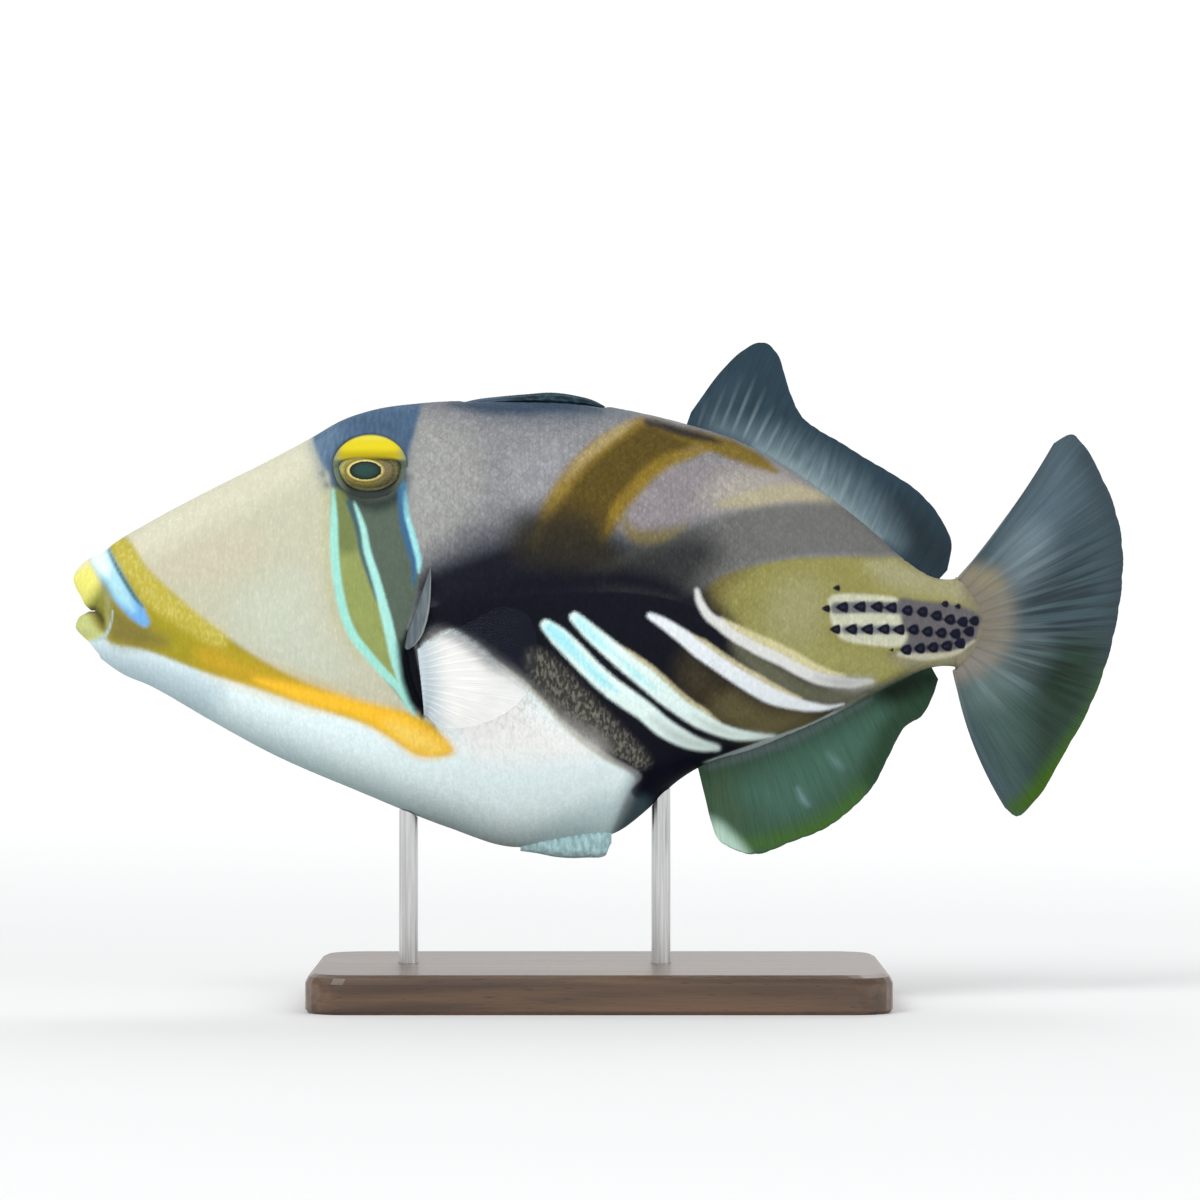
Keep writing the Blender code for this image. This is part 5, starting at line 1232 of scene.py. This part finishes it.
CAUDAL_MARKS = [
    ("upper", 12, 0.8, 0.8, (0.11, 0.165, 0.205),
     [(86, 97), (91, 107), (97, 117), (101, 112), (101, 104), (97, 96), (90, 91)]),
    ("lower", 12, 0.8, 0.85, (0.068, 0.125, 0.105),
     [(77, 66), (84, 70), (93, 64), (94, 55), (88, 46), (83, 50)]),
    ("lower_dark", 10, 0.8, 1, (0.026, 0.054, 0.036),
     [(94, 72), (106.5, 76), (106.5, 65), (98, 50), (93, 42), (90, 52)]),
    ("rear_edge", 7, 0.6, 0.75, (0.04, 0.062, 0.075),
     [(103, 115), (108.5, 104), (111, 94), (110.5, 83), (107, 70)], (1.2, 1.6, 1.8, 1.8, 1.4)),
    ("green", 5, 0.6, 0.95, (0.048, 0.125, 0.004),
     [(107, 69), (104.6, 62), (100.4, 54.5), (95.2, 46.6), (90.4, 41.4), (87.4, 40.4)],
     (0.1, 0.7, 1.7, 2.3, 2.4, 1.4)),
    ("pale_up", 9, 0.8, 0.5, (0.26, 0.34, 0.375),
     [(84.5, 90.5), (87, 96), (91.5, 100), (95.5, 97), (93.5, 90), (89, 86.5)]),
    ("pale_low", 8, 0.8, 0.45, (0.19, 0.26, 0.265),
     [(77, 70), (82, 71), (91, 78), (95, 73), (88, 65), (79, 62)]),
    ("root", 6, 1.6, 0.95, (0.255, 0.228, 0.178),
     [(72, 91), (80, 91.4), (85, 89.6), (87.4, 84), (87.2, 76), (84.4, 71.6), (79, 68.6), (72, 67.6)]),
    ("root_olive", 4, 1, 0.6, (0.29, 0.26, 0.15),
     [(77, 89.5), (80, 91), (84, 89.4), (84.4, 86.5), (82, 86), (79, 88)]),
    ("root_pink", 5, 1, 0.5, (0.3, 0.275, 0.265),
     [(75, 72), (79, 74), (83.4, 73.4), (82.4, 70.6), (79, 68.6), (75, 68.5)]),
]
PECTORAL_MARKS = [
    ("base", 6, 0.4, 0.9, (0.54, 0.65, 0.71),
     [(-38, 75), (-36.4, 60)], (3.8, 4.2)),
    ("dusky", 5, 1.2, 1, (0.02, 0.026, 0.044),
     [(-38, 79.2), (-33.5, 77.8), (-29, 76), (-24.8, 73), (-22.3, 70.6), (-19, 69.2), (-15.2, 66.8),
      (-11, 63.8), (-8, 62), (-8, 86), (-24, 88)]),
]


def eased(distance, ease):
    """A distance that starts from nothing and then grows as fast as the one given."""
    return distance ** 2 / (distance + ease)


def fin_paint(name, web, ray, marks, ray_show, streaked, clear=None):
    """A fin's look: its web, markings and rays. ray_show is how strongly a ray shows, between which
    shares of its length it fades and how much of that the first and last rays show, streaked how
    strong the dark streaks along the rays are and clear how solid the web and a ray are, in the
    pale part and then in the dusky part."""
    n = Paint(name, web, 0.45, Specular_IOR_Level=0.1)
    strength, fade_from, fade_to, first, last = ray_show
    share, across, crest = n.attribute("down"), n.attribute("along"), n.attribute("crest")
    colour = paint_marks(n, marks, web, n.swing(n.noise(600.0, 2.0)))
    fine, broad = (n.noise(1.0, detail, n.combine(n.math("MULTIPLY", across, often),
                                                  n.math("MULTIPLY", share, along), seed))
                   for often, along, seed, detail in ((260.0, 3.0, 0.0, 2.0), (42.0, 1.1, 4.0, 1.0)))
    blotch = n.noise(260.0, 2.0)
    shown = n.product(n.ramp(n.attribute("off_ray"), 0.24, 0.02),
                      n.ramp(share, fade_from, fade_to, strength, 0.0),
                      n.ramp(across, 0.02, 0.3, first, 1.0), n.ramp(across, 0.88, 0.55, last, 1.0),
                      n.ramp(share, 0.04, 0.20))
    if clear:
        dusky = n.ramp(n.mark(marks, "dusky"), 1.8, -1.8)
        shown = n.product(shown, n.math("SUBTRACT", 1.0, dusky))
    colour = n.blend(n.product(shown, n.ramp(blotch, 0.25, 0.75, 0.5, 1.0)), colour, ray)
    from_middle = n.math("ABSOLUTE", n.math("SUBTRACT", across, 0.52))
    dark = n.product(n.ramp(broad, 0.44, 0.64), n.ramp(share, 0.16, 0.42),
                     n.ramp(share, 1.0, 0.7, 0.4, 1.0), streaked,
                     n.ramp(from_middle, 0.18, 0.38, 1.0, 0.3))
    shade = n.product(n.math("SUBTRACT", 1.0, dark), n.ramp(fine, 0.25, 0.75, 0.88, 1.12),
                      1.0 if clear else 0.89, n.ramp(blotch, 0.2, 0.8, 0.92, 1.08))
    joint = n.math("ABSOLUTE", n.swing(n.math("FRACT", n.math("MULTIPLY", share, 34.0))))
    joints = n.product(n.ramp(joint, 0.36, 0.5), crest)
    n.surface(n.shaded(colour, shade), n.math("SUBTRACT", n.product(fine, 0.3), n.product(joints, 0.3)))
    if clear:
        web_solid = n.ramp(dusky, 0.0, 1.0, clear[0], clear[2])
        ray_solid = n.ramp(dusky, 0.0, 1.0, clear[1], clear[3])
        on_ray = n.product(n.ramp(crest, 0.1, 0.8), n.ramp(share, 1.0, 0.3, 0.5, 1.0))
        solid = n.math("ADD", web_solid, n.product(n.math("SUBTRACT", ray_solid, web_solid), on_ray))
        solid = n.product(solid, n.ramp(share, 0.3, 1.0, 1.0, 0.4))
        solid = n.math("MAXIMUM", solid, n.ramp(share, 0.2, 0.0, 0.0, 1.0))
        n.tree.links.new(solid, n.shader.inputs["Alpha"])
    return n.material


def fin(name, node, keys, marks, rays, rows, root, sway, paint,
        ray_half=0.3, root_half=0.9, branch=0.16):
    """A fin as a closed sheet from the CAD's measured rays, with finer rays that branch."""
    column = np.linspace(0, rays - 1, (rays - 1) * BETWEEN_RAYS + 1)
    across = column / (rays - 1)
    place = keys[0][0] + across * (keys[-1][0] - keys[0][0])
    tip_x, tip_z, bow = (smooth_curve(sorted((key[0], key[k]) for key in keys))(place)
                         for k in (1, 2, 3))
    start, end = np.stack(root(place), -1), np.stack([tip_x, tip_z], -1)
    off = np.abs(column - np.round(column))
    end = start + (end - start) * (1.0 - 0.005 * (off * 2)[:, None] ** 2)
    share = (np.linspace(0, 1, rows) ** 0.9)[:, None]
    along = end - start
    over = np.stack([-along[:, 1], along[:, 0]], -1) / np.linalg.norm(along, axis=1, keepdims=True)
    flat = start + share[..., None] * along + (4 * share * (1 - share) * bow)[..., None] * over
    y = sway(start[:, 0], start[:, 1], flat[..., 0], np.linalg.norm(flat - start, axis=-1))
    centre = np.stack([flat[..., 0], y, flat[..., 1]], -1)
    fork = branch * step_between(share, 0.3, 0.9)
    fork_2 = branch * 0.5 * step_between(share, 0.62, 1.0)
    thin = 0.11 - 0.03 * step_between(share, 0.3, 1.0)
    crest = np.exp(-((np.abs(np.abs(off - fork)) - fork_2) / thin) ** 2)
    half = WEB_HALF + (ray_half * (1 - 0.7 * share)) * crest
    half = half + root_half * (1 - step_between(share, 0, 0.16))
    lift = grid_normals(centre, False) * half[..., None]
    points, faces = closed_sheet(centre + lift, centre - lift)
    made = mesh_object(name, points, faces, paint)

    def twice(values):
        return np.tile(np.broadcast_to(values, half.shape).ravel(), 2)

    for label, values in (("down", share), ("crest", crest), ("along", across), ("off_ray", off)):
        store(made.data, label, twice(values))
    store_marks(made.data, marks, twice(flat[..., 0]), twice(flat[..., 1]))
    unwrap(made.data, twice(across), twice(share * 0.46) + np.repeat([0.0, 0.5], half.size))
    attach(made, "root")
    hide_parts(node)


dorsal_paint = fin_paint("dorsal_web", (0.026, 0.055, 0.078), (0.260, 0.345, 0.375), DORSAL_MARKS,
                         (0.9, 0.25, 0.75, 0.25, 0.0), 0.25)
anal_paint = fin_paint("anal_web", (0.042, 0.095, 0.060), (0.080, 0.155, 0.120), ANAL_MARKS,
                       (0.0, 0.4, 1.0, 1.0, 1.0), 0.08)
caudal_paint = fin_paint("caudal_web", (0.060, 0.096, 0.115), (0.230, 0.300, 0.320), CAUDAL_MARKS,
                         (0.42, 0.2, 0.6, 1.0, 1.0), 0.5)
clear_paint = fin_paint("pectoral_web", (0.98, 0.98, 0.955), (1.0, 0.99, 0.95), PECTORAL_MARKS,
                        (0.5, 0.8, 1.0, 1.0, 1.0), 0.0, (0.80, 0.90, 0.30, 0.42))
fin("soft_dorsal_web", "soft_dorsal_fin", SOFT_DORSAL, DORSAL_MARKS, 24, 60,
    lambda x: (x, back(x) - 1.3),
    lambda rx, rz, x, away: bend(x) + 0.24 * eased(away, 2) + 0.5 * np.sin(rx / 5.0) * away / 15,
    dorsal_paint)
fin("anal_web", "anal_fin", ANAL, ANAL_MARKS, 22, 60, lambda x: (x, belly(x) + 1.3),
    lambda rx, rz, x, away: bend(x) - 0.5 * eased(away, 4) + 0.6 * np.sin(rx / 6.0) * away / 15,
    anal_paint, 0.22, 1.3)
fin("caudal_web", "caudal_fin", CAUDAL, CAUDAL_MARKS, 12, 90, lambda z: (tail_arc(z) - 1.0, z),
    lambda rx, rz, x, away: bend(x) + 0.8 * np.sin((rz - 79.0) / 3.0) * away / 35, caudal_paint,
    0.42, 1.1, 0.2)
for side, word in ((-1, "left"), (1, "right")):
    fin("pectoral_web_" + word, "pectoral_fin_" + word, PECTORAL, PECTORAL_MARKS, 14, 48,
        lambda share: [high + share * (low - high) for high, low in zip(*PECTORAL_ROOT)],
        lambda rx, rz, x, away: side * (side_at(rx, rz) + 0.5 + 0.45 * eased(away, 1.5)),
        clear_paint, 0.10, 0.8, 0.12)

# Pelvic spine: the blunt rough tip of the pelvis, moved up and down with a flap of skin before it.

PELVIC_TIP = [(-16.5, 0.8, 31.5), (-13, 2, 31), (-9.5, 2.6, 30.3), (-6, 2.8, 30), (-2.5, 2.6, 30.1),
              (0.8, 2.1, 30.3), (2.6, 1.2, 31.2)]
SCUTES = (0.32, 0.50, 0.52), (0.53, 0.78, 0.81)
n = Paint("pelvic_scutes", (0.3, 0.42, 0.44), 0.5, Specular_IOR_Level=0.1)
grain = n.grain(1400.0, 1400.0, 500.0, 4.0)
n.surface(n.blend(n.ramp(grain, 0.3, 0.7), *SCUTES), grain, 0.0003)


def pelvic_section(x, around, wide, low):
    """Hangs from inside the belly, blunt behind, with rings of scutes."""
    scutes = 1 + 0.05 * np.sin(x * 4.2) * np.cos(around * 3)
    blunt = 1 - step_between(x, 1.3, 2.6) * 0.35
    ceiling = belly(x) + 1.6
    drop = (low - ceiling) * blunt * np.abs(np.sin(around)) ** 0.6
    return x, wide * scutes * np.cos(around), np.where(np.sin(around) > 0, ceiling, ceiling + drop)


pelvic = tube("pelvic_scutes", PELVIC_TIP, 90, 40, pelvic_section, n.material)
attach(pelvic, "root")
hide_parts("pelvic_spine")

# Stand: a base of dark oiled walnut with eased edges, and two brushed steel rods set in holes in
# it. Both keep the CAD's own shapes and get their materials here.

WALNUT, PORES = ((0.055, 0.028, 0.014), (0.150, 0.080, 0.040)), (0.020, 0.010, 0.006)
STEEL = (0.50, 0.50, 0.50), (0.66, 0.66, 0.66)
n = Paint("walnut", (0.1, 0.06, 0.03), 0.38, Coat_Weight=0.3, Coat_Roughness=0.25)
warp = n.grain(9.0, 40.0, 40.0, 3.0, 1)
grain = n.noise(1.0, 6.0, n.vector("ADD", n.place((14.0, 320.0, 320.0)), warp))
pores = n.grain(240.0, 2600.0, 2600.0, 2.0)
colour = n.blend(n.ramp(pores, 0.62, 0.72, 0.0, 0.6), n.blend(n.ramp(grain, 0.3, 0.7), *WALNUT), PORES)
n.surface(colour, n.math("SUBTRACT", grain, pores), 0.00008)
walnut = n.material
n = Paint("brushed_steel", (0.60, 0.60, 0.60), 0.3, Metallic=1.0)
brush = n.grain(2400.0, 2400.0, 60.0, 3.0)
n.surface(n.blend(n.ramp(brush, 0.3, 0.7), *STEEL), brush, 0.00003)
steel = n.material
for node, finish in (("stand_base", walnut), ("stand_rod_front", steel), ("stand_rod_rear", steel)):
    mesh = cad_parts[node].data
    for k in range(len(mesh.materials)):
        mesh.materials[k] = finish
